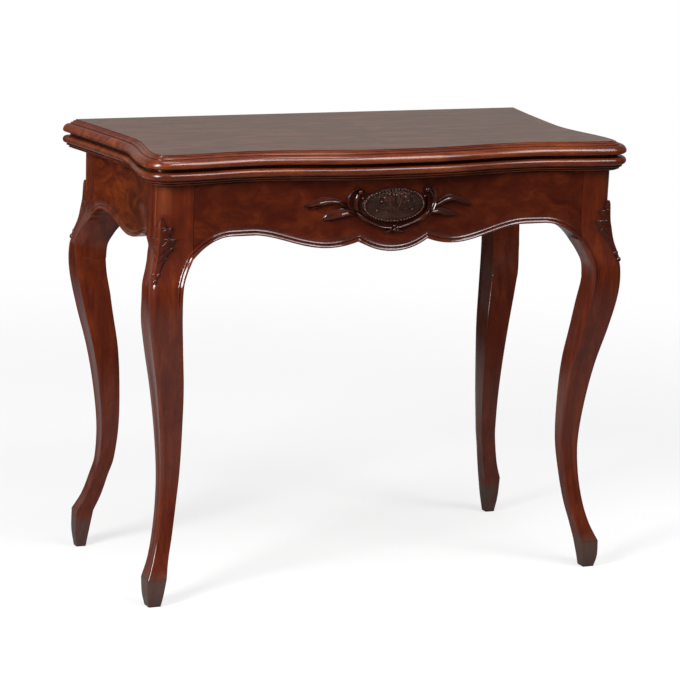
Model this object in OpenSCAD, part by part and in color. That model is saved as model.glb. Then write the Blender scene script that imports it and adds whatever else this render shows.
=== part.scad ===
// Games table with a swivelling fold-over top on four cabriole legs.
// Millimetres. +Z is up, the front is at -Y, X runs to the right.
// The origin is the middle of the footprint on the floor.

/* [Overall size] */
// Height of the closed table
table_h = 750; // [720:1:780]
// Width of the top over its mouldings, at the back edge
top_w = 882; // [850:2:920]
// Depth of the closed top, from the bow to the back edge
top_d = 422; // [410:2:440]
// Thickness of each of the two leaves
leaf_t = 25; // [23:0.5:28]

/* [Top outline] */
// Width of the edge moulding, flat field to outermost point
mould_w = 22.8; // [20:0.2:25]
// How far each side draws in at its waist
waist_in = 24.5; // [15:0.5:28]
// How far the front lobes swell out from the waist
lobe_out = 22.5; // [12:0.5:24]
// How far the front edge falls back between lobe and bow
front_hollow = 14; // [6:0.5:16]
// How far the middle bow stands ahead of the lobes
bow_out = 8.2; // [2:0.2:12]
// Distance of the waist ahead of the back edge
waist_from_back = 223; // [190:1:230]
// Radius of the flat field at the front corners
field_corner_r = 17; // [12:0.5:20]

/* [Frame] */
// Overhang of the moulding beyond the posts at the back corners
side_overhang = 29; // [26:0.5:34]
// Overhang of the back edge beyond the back posts
back_overhang = 9; // [6:0.5:12]
// How far each back post stands in from the line of the front posts
back_in = 4.4; // [0:0.2:6]
// Size of the square posts
post_s = 58; // [54:0.5:62]
// Radius worked on the outer corner of each post
post_round = 20; // [14:0.5:22]
// Depth of the frame of aprons at the middle of the front
apron_h = 121; // [112:1:126]
// Rise of the front arches above its lowest point
arch_rise = 33.7; // [28:0.1:36]
// Drop of the lobes below the arches
lobe_drop = 26; // [20:0.2:28]
// Drop of the side aprons below the front arches
side_drop = 28.2; // [22:0.2:30]
// Thickness of the front apron behind its hollow
apron_t = 22; // [20:0.5:26]
// Bow of the front apron ahead of the posts
apron_bow = 8; // [3:0.5:9]
// Hollow of the front apron behind the posts
apron_hollow = 7; // [2:0.5:8]
// Depth of the backing behind the brackets at the posts
bracket_back = 20; // [8:0.5:24]
// Hollow of the side aprons in plan
side_hollow = 18; // [8:0.5:20]
// Thickness of the back rail
back_rail_t = 22; // [18:0.5:26]
// Depth of the back rail
back_rail_h = 118; // [100:1:120]
// Width of the bead along the lower edges
bead_w = 9; // [7:0.5:10]
// Height of that bead
bead_h = 2.6; // [1.5:0.1:3]

/* [Legs] */
// Greatest outward swell of the knee
knee_out = 17.8; // [14:0.2:19]
// Greatest inward sweep above the ankle
ankle_in = 25; // [16:0.5:26]
// Width of the leg at the knee
knee_s = 54; // [48:0.5:56]
// Width of the leg at its thinnest
ankle_s = 26.5; // [24:0.5:30]
// Width of the foot at its sharp upper edge
foot_s = 30.5; // [27:0.5:33]
// Height of that edge on the front feet
foot_h = 46; // [40:1:52]
// Height of that edge on the back feet
back_foot_h = 66; // [52:1:70]
// Hollow of the leg's faces
face_hollow = 1.2; // [0:0.1:1.6]
// Relief of the carved knee leaf
leaf_relief = 3.5; // [2:0.1:4]
// Radius of the lower of the two buds that end it
bud_r = 5.4; // [4.5:0.1:6]
// How far the buds stand out of the knee's corner
bud_proud = 3.2; // [2:0.1:4]

/* [Inside the frame] */
// Thickness of the floor board
floor_t = 8; // [6:0.5:10]
// Height of the floor's underside below the frame's top
floor_drop = 92.5; // [88:0.5:95]
// Section of the floor cleats
cleat_s = 14; // [10:0.5:18]
// Thickness of the divider
divider_t = 10; // [8:0.5:14]
// Width of the pivot bearer
bearer_w = 90; // [80:1:100]
// Thickness of the pivot bearer
bearer_t = 24; // [20:0.5:28]
// Depth of the bearer's housings
housing_d = 8; // [5:0.5:10]

/* [Swivel] */
// Sideways shift of the turned top, towards the back
turned_shift = 3; // [0:0.5:6]
// Radius of the pivot bolt
bolt_r = 6; // [5:0.25:8]
// Running clearance of the bolt in the bearer
bolt_fit = 0.08; // [0.04:0.01:0.1]
// Length of the pivot plate
plate_l = 110; // [90:1:120]
// Width of the pivot plate
plate_w = 70; // [60:1:80]
// Thickness of the pivot plate
plate_t = 4; // [3:0.25:5]
// Height of the stop block
stop_h = 15; // [10:0.5:20]

/* [Hinges] */
// Distance of each hinge's middle from the end of the back edge
hinge_in = 141; // [121:2:180]
// Length of a hinge
hinge_l = 60; // [50:1:72]
// Height of a hinge plate
hinge_h = 19.5; // [17:0.25:20]
// Thickness of a hinge plate
hinge_t = 2; // [1.5:0.1:2.5]
// Radius of the hinge's barrel
barrel_r = 3; // [2.5:0.1:3.2]
// Radius of the hinge pin
pin_r = 1.3; // [1:0.05:1.5]

/* [Cloth] */
// Width of the wooden border at the sides
border_side = 73; // [60:1:90]
// Width of the wooden border at the front
border_front = 60; // [50:1:80]
// Thickness of the playing cloth
cloth_t = 0.9; // [0.7:0.1:1.2]

/* [Hidden] */

// heights
frame_h = table_h - 2 * leaf_t;
joint_z = table_h - leaf_t;
post_x = top_w / 2 - side_overhang;
us = frame_h / 700;
hinge_x = top_w / 2 - hinge_in;

// profile of the legs, front and back: outward sweep and width at heights of a 700 frame
leg_zs = [for (f = [foot_h, back_foot_h])
    [0, f * 0.43, f, f + 29, f + 66, 165, 220, 290, 360, 430, 490, 535, 560, 580, 600, 625, 700]];
leg_k = [for (v = [3.4, 7.4, 7.6, -4.8, -15, -23, -25.4, -19.6, -9, 6.2, 16.6, 17.8, 11.5, 5.4, 1.8, 0, 0])
    v > 0 ? v * knee_out / 17.8 : v * ankle_in / 25.4];
leg_s = concat([foot_s * 0.64, foot_s * 0.86, foot_s],
    [for (f = [0.04, 0, 0.03, 0.16, 0.38, 0.64, 0.86, 1, 1.055]) ankle_s + (knee_s - ankle_s) * f]);
leg_r_z = [0, foot_h, 110, 290, 430, 535, 610, 700];
leg_r_v = [3, 4.5, 7, 9, 9.5, 12, post_round, post_round];
leg_levels = [for (f = [foot_h, back_foot_h]) concat(
    [0, 3, f * 0.3, f * 0.62, f * 0.85, f, f + 5, f + 14, f + 28, f + 44, f + 66, 135, 160, 190, 220],
    [255, 290, 325, 360, 395, 430, 460, 490, 512, 535, 548, 560, 572, 580, 590, 600, 606, 612, 625, 700])];
// the knees of the back legs reach a little past the back edge
knee_reach = max([for (z = leg_levels[1]) leg_out(z * us, 1) + leg_bead(z * us)]);
back_reach = max(0, knee_reach - back_overhang);
depth_all = top_d + back_reach;
top_back = depth_all / 2 - back_reach;
top_front = top_back - top_d;
post_back = top_back - back_overhang;
post_front = top_front + mould_w + bow_out;
frame_mid = (post_back + post_front) / 2;
inner_x = post_x - post_s;
back_inner_x = inner_x - back_in;
inner_front = post_front + post_s;
inner_back = post_back - post_s;
// inner faces of the frame
bay_front = post_front + apron_hollow + apron_t;
bay_back = post_back - 4 - back_rail_t;
bay_x = post_x - side_hollow - 20;
floor_z = frame_h - floor_drop;
// pivot: a quarter turn lays the hinge line across the middle of the frame
pivot_x = (top_back - turned_shift) / 2;
pivot_y = (top_back + turned_shift) / 2;
bearer_top = frame_h - 0.6;
bearer_z = bearer_top - bearer_t;
bearer_x0 = pivot_x - bearer_w / 2;
bearer_x1 = pivot_x + bearer_w / 2;
// stop block: touches the bearer closed and the back rail when turned
stop_gap = 0.2;
stop_s = bay_back - stop_gap - (pivot_y + bearer_w / 2 + stop_gap);
stop_x = bearer_x1 + stop_gap + stop_s / 2;
stop_y = pivot_y - 140;
washer_t = 2.5;
nut_t = 10;
fit = 0.1;
screw_r = 1.8;
head_r = 3.6;
side_len = inner_back - inner_front;

// colours of the materials
WOOD = [0.36, 0.13, 0.06];
WOOD_TOP = [0.48, 0.2, 0.1];
PLAIN = [0.62, 0.44, 0.26];
BRASS = [0.78, 0.6, 0.28];
IRON = [0.32, 0.32, 0.33];
CLOTH = [0.1, 0.32, 0.2];

// smooth curves

function ease(u) = (1 - cos(180 * max(0, min(1, u)))) / 2;

function seg(x, xs, i = 0) = (i >= len(xs) - 2 || x <= xs[i + 1]) ? i : seg(x, xs, i + 1);

function slope(xs, ys, i) =
    i <= 0 ? (ys[1] - ys[0]) / (xs[1] - xs[0]) :
    i >= len(xs) - 1 ? (ys[i] - ys[i - 1]) / (xs[i] - xs[i - 1]) :
    (ys[i + 1] - ys[i - 1]) / (xs[i + 1] - xs[i - 1]);

// value at x of the smooth curve through the stations xs, ys
function curve(x, xs, ys) =
    let (i = seg(x, xs), w = xs[i + 1] - xs[i], t = max(0, min(1, (x - xs[i]) / w)))
    ys[i] * (1 + 2 * t) * pow(1 - t, 2) + ys[i + 1] * t * t * (3 - 2 * t)
    + w * slope(xs, ys, i) * t * pow(1 - t, 2) - w * slope(xs, ys, i + 1) * t * t * (1 - t);

// solid through rings of equally many points, counterclockwise seen from the last ring;
// the whole of a ring is in view from its first point
module loft(rings) {
    n = len(rings[0]);
    m = len(rings);
    points = [for (r = rings) each r];
    sides = [for (j = [0:m - 2]) for (i = [0:n - 1])
        let (a = j * n + i, b = j * n + (i + 1) % n)
        each [[a, a + n, b + n], [a, b + n, b]]];
    polyhedron(points, concat([[for (i = [0:n - 1]) i]],
        [[for (i = [0:n - 1]) (m - 1) * n + (n - i) % n]], sides), 4);
}

module mirror_x() {
    mirror([1, 0, 0])
        children();
}

// the same thing on the back posts, reflected about the middle of the frame
module mirror_back() {
    translate([0, 2 * frame_mid, 0])
        mirror([0, 1, 0])
            children();
}

// plan of the leaves

field_back_x = top_w / 2 - mould_w * 1.013;
waist_y = top_back - waist_from_back;
waist_x = field_back_x - waist_in;
lobe_x = waist_x + lobe_out;
corner_x = lobe_x - field_corner_r;
corner_y = post_front + field_corner_r;
hollow_y = post_front + front_hollow;
bow_y = post_front - bow_out;

function field_side(y) = y > waist_y
    ? waist_x + waist_in * pow((y - waist_y) / (top_back - waist_y), 1.3)
    : waist_x + lobe_out * ease((waist_y - y) / (waist_y - corner_y));

function field_front(x) = x > corner_x * 0.63
    ? hollow_y + (post_front - hollow_y) * ease((x / corner_x - 0.63) / 0.36)
    : hollow_y + (bow_y - hollow_y) * ease((0.615 - x / corner_x) / 0.52);

front_n = 24;
corner_n = 6;
side_n = 20;

field_half = concat(
    [for (i = [0:front_n - 1]) let (x = corner_x * i / front_n) [x, field_front(x)]],
    [for (i = [0:corner_n - 1]) let (a = 90 * i / corner_n)
        [corner_x + field_corner_r * sin(a), corner_y - field_corner_r * cos(a)]],
    [for (i = [0:side_n]) let (y = corner_y + (top_back - corner_y) * i / side_n)
        [field_side(y), y]]);
half_n = len(field_half);

function neighbour(i) = i < 0 ? [-field_half[1][0], field_half[1][1]] : field_half[min(i, half_n - 1)];
function unit(v) = v / norm(v);
function outward(i) = let (d = unit(neighbour(i + 1) - neighbour(i - 1))) [d[1], -d[0]];

// outline of the leaf, e millimetres outside the flat field, cut square at the back
function plan_point(i, e) = i == half_n - 1
    ? [field_half[i][0] + e * 1.013, top_back]
    : let (p = field_half[i] + e * outward(i)) [max(0, p[0]) * (i == 0 ? 0 : 1), min(p[1], top_back - 0.2)];

// starts at the middle of the back edge, from where the whole outline is in view
function plan_ring(e, z) = concat([[0, top_back, z]],
    [for (i = [half_n - 1:-1:1]) let (p = plan_point(i, e)) [-p[0], p[1], z]],
    [for (i = [0:half_n - 1]) let (p = plan_point(i, e)) [p[0], p[1], z]]);

// edge sections: distance outside the field and depth below the upper face, unit leaf
upper_edge = [[0, 0], [0.9, 1.5], [4.8, 2.4], [10.6, 6], [15.4, 7], [19.6, 9.8], [22.2, 13.8],
    [22.8, 17.2], [21.6, 21], [18.2, 23.9], [13, 25]];
lower_edge = [[13, 0], [17.4, 0.9], [21, 3.6], [22.8, 7.6], [22.3, 11], [19.2, 14.6], [14.2, 17.4],
    [9, 19.6], [7.6, 21], [7.2, 23.2], [4.5, 25]];

module leaf_blank(section, z_top) {
    k = len(section) - 1;
    loft([for (i = [k:-1:0])
        plan_ring(section[i][0] * mould_w / 22.8, z_top - section[i][1] * leaf_t / 25)]);
}

cloth_x = field_back_x - border_side;
cloth_y0 = post_front + border_front;
cloth_y1 = top_back - 4;

module cloth_plan(z, h, grow) {
    translate([-cloth_x - grow, cloth_y0 - grow, z])
        cube([2 * (cloth_x + grow), cloth_y1 - cloth_y0 + 2 * grow, h]);
}

// hinges: leaf plates let into the back edges, the pin on the line where the leaves meet

module on_hinge(side) {
    translate([side * hinge_x, top_back, joint_z])
        children();
}

module barrel(x0, x1, r) {
    translate([x0, 0, 0])
        rotate([0, 90, 0])
            cylinder(r = r, h = x1 - x0, $fn = 40);
}

module hinge_cut() {
    for (side = [-1, 1]) {
        on_hinge(side) {
            barrel(-hinge_l / 2 - fit, hinge_l / 2 + fit, barrel_r + 0.35);
            translate([-hinge_l / 2 - fit, -hinge_t - 0.05, -barrel_r - hinge_h])
                cube([hinge_l + 2 * fit, hinge_t + 1, 2 * (barrel_r + hinge_h)]);
        }
    }
}

screw_spots = [-0.34, 0, 0.34];
hinge_screw_l = 16;

module hinge_screw_set(up, r, hr, l) {
    for (side = [-1, 1]) {
        for (s = screw_spots) {
            on_hinge(side)
                translate([s * hinge_l, -0.1, up * (barrel_r + 0.55 * hinge_h)])
                    rotate([90, 0, 0]) {
                        cylinder(r1 = hr, r2 = r, h = 1.6, $fn = 24);
                        cylinder(r = r, h = l, $fn = 24);
                    }
        }
    }
}

knuckle = hinge_l / 5;

module hinge_half(side, up, own) {
    difference() {
        on_hinge(side)
            union() {
                translate([-hinge_l / 2, -hinge_t, up > 0 ? barrel_r + 0.5 : -barrel_r - hinge_h + 0.2])
                    cube([hinge_l, hinge_t - 0.1, hinge_h - 0.7]);
                for (k = own) {
                    x0 = -hinge_l / 2 + k * knuckle + (k == 0 ? 0 : 0.15);
                    x1 = -hinge_l / 2 + (k + 1) * knuckle - (k == 4 ? 0 : 0.15);
                    barrel(x0, x1, barrel_r);
                    translate([x0, -hinge_t, up > 0 ? 1.6 : -barrel_r - 1])
                        cube([x1 - x0, hinge_t - 0.1, barrel_r - 0.6]);
                }
            }
        on_hinge(side)
            barrel(-hinge_l, hinge_l, pin_r + (up > 0 ? 0.06 : 0.02));
        hinge_screw_set(up, screw_r + 0.05, head_r + 0.05, hinge_screw_l);
    }
}

module hinge_left_lower() {
    color(BRASS)
        hinge_half(-1, -1, [0, 2, 4]);
}

module hinge_right_lower() {
    color(BRASS)
        hinge_half(1, -1, [0, 2, 4]);
}

module hinge_left_upper() {
    color(BRASS)
        hinge_half(-1, 1, [1, 3]);
}

module hinge_right_upper() {
    color(BRASS)
        hinge_half(1, 1, [1, 3]);
}

module hinge_pins() {
    color(BRASS)
        for (side = [-1, 1])
            on_hinge(side)
                barrel(-hinge_l / 2, hinge_l / 2, pin_r);
}

module hinge_screws_lower() {
    color(BRASS)
        hinge_screw_set(-1, screw_r, head_r, hinge_screw_l);
}

module hinge_screws_upper() {
    color(BRASS)
        hinge_screw_set(1, screw_r, head_r, hinge_screw_l);
}

// leaves and cloth

module upper_leaf() {
    color(WOOD_TOP)
        difference() {
            leaf_blank(upper_edge, table_h);
            cloth_plan(joint_z - 1, 2, fit);
            hinge_cut();
            hinge_screw_set(1, screw_r + 0.05, head_r + 0.05, hinge_screw_l + 0.2);
        }
}

module lower_leaf() {
    color(WOOD_TOP)
        difference() {
            leaf_blank(lower_edge, joint_z);
            cloth_plan(joint_z - 1, 2, fit);
            hinge_cut();
            hinge_screw_set(-1, screw_r + 0.05, head_r + 0.05, hinge_screw_l + 0.2);
            pivot_plate_plan(frame_h - 1, plate_t + 1, fit);
            plate_screw_set(screw_r + 0.05, head_r + 0.05, plate_screw_l + 0.2);
            translate([stop_x, stop_y, frame_h - 1])
                cylinder(r = screw_r + 0.05, h = 11.2, $fn = 24);
        }
}

module lower_cloth() {
    color(CLOTH)
        cloth_plan(joint_z - 1, cloth_t, 0);
}

module upper_cloth() {
    color(CLOTH)
        cloth_plan(joint_z + 1 - cloth_t, cloth_t, 0);
}

// legs

// the feet have a sharp upper edge, so the sweep has a corner there
function leg_out(z, b = 0) = let (h = z / us, f = leg_zs[b][2]) h < f
    ? curve(h, [for (i = [0:2]) leg_zs[b][i]], [for (i = [0:2]) leg_k[i]])
    : curve(h, [for (i = [2:16]) leg_zs[b][i]], [for (i = [2:16]) leg_k[i]]);
function leg_round(z) = curve(z / us, leg_r_z, leg_r_v);
function leg_low(h, b) = h < leg_zs[b][2]
    ? curve(h, [for (i = [0:2]) leg_zs[b][i]], [for (i = [0:2]) leg_s[i]])
    : curve(h, [for (i = [2:11]) leg_zs[b][i]], [for (i = [2:11]) leg_s[i]]);
// width along X: below 535 the same both ways, above it swept out to meet the bracket
function leg_wide(z, b = 0) = let (h = z / us)
    h >= 580 ? post_s + leg_out(z, b)
    : h > 535 ? curve(h, [500, 535, 548, 560, 572, 580],
        concat([for (d = [0, 1.5, 2.4, 4.2, 7.2]) knee_s + d], [post_s + leg_out(580 * us, b)]))
    : leg_low(h, b);
// depth along Y at the outer side; the brackets under the side aprons sit lower on the back legs
function leg_deep(z, b = 0) = let (h = z / us + 15 * b)
    h >= 607 ? post_s
    : h > 520 ? curve(h, [490, 520, 549, 565, 585, 597, 603, 607],
        concat([for (d = [2.5, 8, 11.5, 12.5, 10, 6.5, 1]) knee_s - d], [post_s]))
    : h > 460 ? let (q = ease((h - 460) / 60)) leg_low(h, b) * (1 - q) + (knee_s - 8) * q
    : leg_low(z / us, b);
// depth at the inner side, left fuller under the frame
function leg_inner(z, b = 0) = let (h = z / us, d = leg_deep(z, b))
    h > 515
    ? max(d, min(post_s, curve(h, [515, 535, 555, 575, 590, 600], [47, 47.5, 50, 54, 57, 58])))
    : d;
// how far the edge bead of the apron runs on down the leg
function leg_bead(z) = let (h = z / us)
    bead_h * min(ease((598 - h) / 14), ease((h - 515) / 30));
function leg_hollow(z) = let (h = z / us)
    face_hollow * min(ease((h - 60) / 60), ease((590 - h) / 50));

function leg_section(z, b = 0) = let (s = leg_wide(z, b), d = leg_deep(z, b), e = leg_inner(z, b),
    r = leg_round(z), p = leg_bead(z), q = p * 0.7, g = leg_hollow(z), w = min(bead_w, s * 0.35))
    [[s, 1.2], [s - 1.2, -p * 0.7], [s - w * 0.5, -p], [s - w * 0.95, -p * 0.6], [s - w * 1.15, g * 0.5],
    [(s - w + r) / 2, g], [r, 0], [r * 0.5, r * 0.134], [r * 0.134, r * 0.5], [0, r], [g, (d - w + r) / 2],
    [g * 0.5, d - w * 1.15], [-q * 0.6, d - w * 0.95], [-q, d - w * 0.5], [-q * 0.7, d - 1.2], [1.2, d],
    [s - 1.2, e], [s, e - 1.2]];

function leg_ring(z, b) = let (o = leg_out(z, b))
    [for (p = leg_section(z, b)) [post_x + o - p[0], post_front - o + p[1], z]];

// raised leaf on the rounded corner of the knee: pointed above, three lobes a side, ending in two buds
knee_leaf_z = [543, 553, 563, 575, 588, 598, 603, 610, 617, 623, 631, 636, 644, 652];
knee_leaf_w = [4, 5, 6.5, 9, 14, 20.5, 17, 21, 24, 15, 13.5, 8.5, 5, 1.2];
knee_leaf_h = [0.8, 0.95, 1, 1, 1, 0.95, 0.9, 0.9, 0.8, 0.9, 0.85, 0.8, 0.7, 0.35];

// how far the rounded corner falls back, w across it
function corner_fall(w, r) = let (k = min(w, r * 0.7071))
    r - sqrt(r * r - k * k) + max(0, w - r * 0.7071);

function knee_point(z, b, w, h) =
    let (o = leg_out(z, b), r = leg_round(z), k = h - corner_fall(abs(w), r))
    [post_x + o - r * 0.293 + (w + k) * 0.7071, post_front - o + r * 0.293 + (w - k) * 0.7071, z];

knee_cut = [[0, -5], [0.6, -4], [1, -3], [1, 0.1], [0.86, 0.55], [0.42, 0.8], [0, 1], [-0.42, 0.8],
    [-0.86, 0.55], [-1, 0.1], [-1, -3], [-0.6, -4]];

function knee_leaf_ring(i, b) =
    let (z = knee_leaf_z[i] * us, w = knee_leaf_w[i], h = leaf_relief * knee_leaf_h[i])
    [for (p = knee_cut) knee_point(z, b, p[0] * w, p[1] > 0 ? p[1] * h : p[1])];

module leg(b) {
    loft([for (z = leg_levels[b]) leg_ring(z * us, b)]);
    loft([for (i = [0:len(knee_leaf_z) - 1]) [for (j = [11:-1:0]) knee_leaf_ring(i, b)[j]]]);
    for (q = [[546, 1], [556.5, 0.85]])
        translate(knee_point(q[0] * us, b, 0, bud_proud - bud_r * q[1]))
            sphere(r = bud_r * q[1], $fn = 16);
}

module back_leg() {
    translate([-back_in, 0, 0])
        mirror_back()
            leg(1);
}

module leg_front_right() {
    color(WOOD)
        leg(0);
}

module leg_front_left() {
    color(WOOD)
        mirror_x()
            leg(0);
}

module leg_back_right() {
    color(WOOD)
        back_leg();
}

module leg_back_left() {
    color(WOOD)
        mirror_x()
            back_leg();
}

// front apron

crest_z = frame_h - apron_h + arch_rise;
lobe_z = crest_z - lobe_drop;

// lower edge, as a fraction f of the half length: pendant, cusp, lobe, crest, bracket
function apron_edge(x) = let (f = abs(x) / inner_x)
    f < 0.1766 ? frame_h - apron_h + 18 * pow(f / 0.1766, 2.1)
    : f < 0.328 ? lobe_z + 10.3 * pow((0.328 - f) / 0.1514, 2)
    : f < 0.805 ? lobe_z + lobe_drop * ease((f - 0.328) / 0.392)
    : crest_z - (crest_z - 580 * us) * pow((f - 0.805) / 0.195, 2.05);

// plan of the front face: bow, hollow, flush with the posts at the ends
function apron_face(x) = let (f = abs(x) / inner_x)
    f < 0.55 ? post_front - apron_bow + (apron_bow + apron_hollow) * ease(f / 0.55)
    : post_front + apron_hollow * (1 - ease((f - 0.62) / 0.38));

// the face swells with the leg where it runs into the bracket
function apron_front(x, z) = let (f = abs(x) / inner_x)
    apron_face(x) - leg_out(z) * ease((f - 0.8) / 0.2);

function edge_slope(x) = abs(apron_edge(abs(x) + 1) - apron_edge(abs(x) - 1)) / 2;

// the brackets are backed by a wedge under the floor, deepest at the posts
wedge_f = 0.9;
function wedge(x) = bracket_back * max(0, abs(x) / inner_x - wedge_f) / (1 - wedge_f);

function apron_section(x) = let (z0 = apron_edge(x), k = min(1.6, sqrt(1 + pow(edge_slope(x), 2))),
    w = bead_w * k, top = frame_h)
    concat([[x, apron_front(x, z0) + 0.6, z0], [x, bay_front + wedge(x), z0],
        [x, bay_front, max(z0 + 2, floor_z - 0.4)], [x, bay_front, top]],
        [for (t = [1, 0.6, 0.3]) let (z = z0 + (top - z0) * t) [x, apron_front(x, z), z]],
        [for (p = [[0, 1.25], [-1, 0.7], [-0.8, 0.2]]) let (z = z0 + w * p[1])
            [x, apron_front(x, z) + bead_h * p[0], z]]);

apron_half = [for (f = [0, 0.02, 0.05, 0.085, 0.12, 0.15, 0.172, 0.1766, 0.182, 0.2, 0.235, 0.28, 0.328,
    0.38, 0.43, 0.48, 0.53, 0.58, 0.63, 0.7, 0.78, 0.84, wedge_f, 0.95, 1]) f * inner_x];
apron_stations = let (h = apron_half)
    concat([for (i = [len(h) - 1:-1:1]) -h[i]], h);

module apron_blank() {
    loft([for (x = apron_stations) apron_section(x)]);
}

module bearer_plan(d, extra) {
    translate([bearer_x0 - extra, bay_front - d, bearer_z])
        cube([bearer_w + 2 * extra, bay_back - bay_front + 2 * d, bearer_t + 2]);
}

module front_apron() {
    color(WOOD)
        difference() {
            apron_blank();
            bearer_plan(housing_d, 0);
        }
}

// side aprons: hollow in plan, one arch behind and one drop ahead

low_y = inner_front + side_len * 0.508;
arch_y = inner_front + side_len * 0.885;

function side_edge(y) = let (low = crest_z - side_drop, arch = crest_z - 1.7)
    y < low_y ? low + (side_drop - 2.7) * ease((low_y - y) / (low_y - inner_front))
    : y < arch_y ? low + (arch - low) * ease((y - low_y) / (arch_y - low_y))
    : arch - 18 * pow((y - arch_y) / (inner_back + 4 - arch_y), 2);

// hollow in plan, and running in a little towards the back post
function side_face(y) = let (u = (y - inner_front) / side_len)
    post_x - side_hollow * sin(180 * u) - back_in * u;

function side_slope(y) = abs(side_edge(y + 1) - side_edge(y - 1)) / 2;

side_steps = 34;

function side_section(y) = let (z0 = side_edge(y), x = side_face(y),
    w = bead_w * min(1.5, sqrt(1 + pow(side_slope(y), 2))))
    [[bay_x, y, z0], [x - 0.6, y, z0], [x + bead_h * 0.7, y, z0 + w * 0.12], [x + bead_h, y, z0 + w * 0.5],
    [x + bead_h * 0.65, y, z0 + w * 0.95], [x, y, z0 + w * 1.25], [x, y, frame_h], [bay_x, y, frame_h]];

module side_apron() {
    loft([for (i = [side_steps:-1:0]) side_section(inner_front + side_len * i / side_steps)]);
}

module side_apron_right() {
    color(WOOD)
        side_apron();
}

module side_apron_left() {
    color(WOOD)
        mirror_x()
            side_apron();
}

module back_rail() {
    color(WOOD)
        difference() {
            translate([-back_inner_x, bay_back, frame_h - back_rail_h])
                cube([2 * back_inner_x, back_rail_t, back_rail_h]);
            bearer_plan(housing_d, 0);
        }
}

// carved ornament glued on the middle of the front apron

// stroke along a smooth line through points given as [x, z, half width]
function stroke(pts, n = 16) = let (
    ts = [for (i = [0:len(pts) - 1]) i],
    line = [for (k = [0:n]) let (t = k / n * (len(pts) - 1))
        [for (j = [0:2]) curve(t, ts, [for (p = pts) p[j]])]],
    side = [for (k = [0:n]) let (a = line[max(0, k - 1)], b = line[min(n, k + 1)],
        d = unit([b[0] - a[0], b[1] - a[1]])) line[k][2] * [d[1], -d[0]]])
    concat([for (k = [0:n]) [line[k][0], line[k][1]] + side[k]],
        [for (k = [n:-1:0]) [line[k][0], line[k][1]] - side[k]]);

function oval(rx, rz, n) = [for (i = [0:n - 1]) [rx * cos(360 * i / n), rz * sin(360 * i / n)]];

carve_x = -4;
carve_z = frame_h - 44;
oval_rx = 57;
oval_rz = 28.5;

// layer of even height on the face of the apron, cut to an outline
module relief(h) {
    intersection() {
        loft([for (x = apron_stations) if (abs(x) < inner_x * 0.6)
            [for (p = [[-h, -60], [0, -60], [0, 60], [-h, 60]]) [x, apron_face(x) + p[0], carve_z + p[1]]]]);
        translate([carve_x, post_front + 40, carve_z])
            rotate([90, 0, 0])
                linear_extrude(height = 80)
                    children();
    }
}

// the scroll that cups one side of the oval, with its volute
module cup_scroll() {
    polygon(stroke([[4, -38, 3.5], [26, -33, 4.5], [48, -22, 6], [65, -8, 8], [74, 8, 7.5], [73, 22, 5.5],
        [64, 29, 3.5]], 20));
    translate([61, 23])
        circle(r = 7.5, $fn = 16);
}

// leaves that leave the scroll sideways
module spray() {
    polygon(stroke([[72, -12, 4], [82, -4, 4.5], [94, 7, 5.5], [110, 13.5, 6], [126, 13, 5.5], [141, 7, 3.5],
        [154, 1, 0.8]]));
    polygon(stroke([[68, -14, 4], [82, -10, 5.5], [97, -9, 6], [112, -14, 4.5], [125, -21, 0.8]], 12));
    polygon(stroke([[60, -18, 4], [78, -16, 4.5], [94, -18.5, 4.5], [108, -23, 3.2], [119, -27, 0.8]], 12));
}

module apron_carving() {
    color(WOOD)
        union() {
            relief(5)
                polygon(oval(oval_rx - 3, oval_rz - 3, 48));
            relief(7)
                difference() {
                    polygon(oval(oval_rx, oval_rz, 48));
                    polygon(oval(oval_rx - 5, oval_rz - 5, 48));
                }
            relief(6.5)
                for (x = [-15, 15])
                    translate([x, 0])
                        polygon(oval(9, 13, 14));
            relief(8)
                for (m = [0, 1])
                    mirror([m, 0])
                        cup_scroll();
            relief(6) {
                for (m = [0, 1])
                    mirror([m, 0])
                        spray();
                translate([0, -38])
                    circle(r = 6.5, $fn = 16);
            }
        }
}

// inside of the frame

block_z = floor_z + floor_t + cleat_s + 1;

module corner_blocks() {
    color(PLAIN)
        for (p = [[inner_x, bay_front], [back_inner_x, bay_back - 26]])
            for (x = [-p[0], p[0] - 26])
                translate([x, p[1], block_z])
                    cube([26, 26, frame_h - 10 - block_z]);
}

module floor_board() {
    color(PLAIN)
        difference() {
            translate([-bay_x, bay_front, floor_z])
                cube([2 * bay_x, bay_back - bay_front, floor_t]);
            post_clear();
            floor_screw_set(screw_r + 0.05, head_r + 0.05, 20);
        }
}

// room for the posts, which stand inside the line of the aprons
module post_clear() {
    for (m = [0, 1])
        mirror([m, 0, 0]) {
            translate([inner_x - 0.3, inner_front - 100, 0])
                cube([200, 100.3, frame_h]);
            translate([back_inner_x - 0.3, inner_back - 0.3, 0])
                cube([200, 100, frame_h]);
        }
}

module floor_screw_set(r, hr, l) {
    for (x = [-0.8, -0.27, 0.27, 0.8]) {
        for (y = [bay_front + cleat_s / 2, bay_back - cleat_s / 2]) {
            translate([x * inner_x, y, floor_z]) {
                cylinder(r1 = hr, r2 = r, h = 1.8, $fn = 24);
                cylinder(r = r, h = l, $fn = 24);
            }
        }
    }
}

module floor_screws() {
    color(IRON)
        floor_screw_set(screw_r, head_r, floor_t + 9);
}

module cleat_plan(extra) {
    for (p = [[inner_x - 1, bay_front], [back_inner_x - 1, bay_back - cleat_s]])
        translate([-p[0] - extra, p[1] - extra, floor_z + floor_t - extra])
            cube([2 * (p[0] + extra), cleat_s + 2 * extra, cleat_s + 2 * extra]);
}

module floor_cleats() {
    color(PLAIN)
        difference() {
            cleat_plan(0);
            floor_screw_set(screw_r + 0.05, head_r + 0.05, floor_t + 9.2);
        }
}

divider_x = bearer_x0 - 24;

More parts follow.
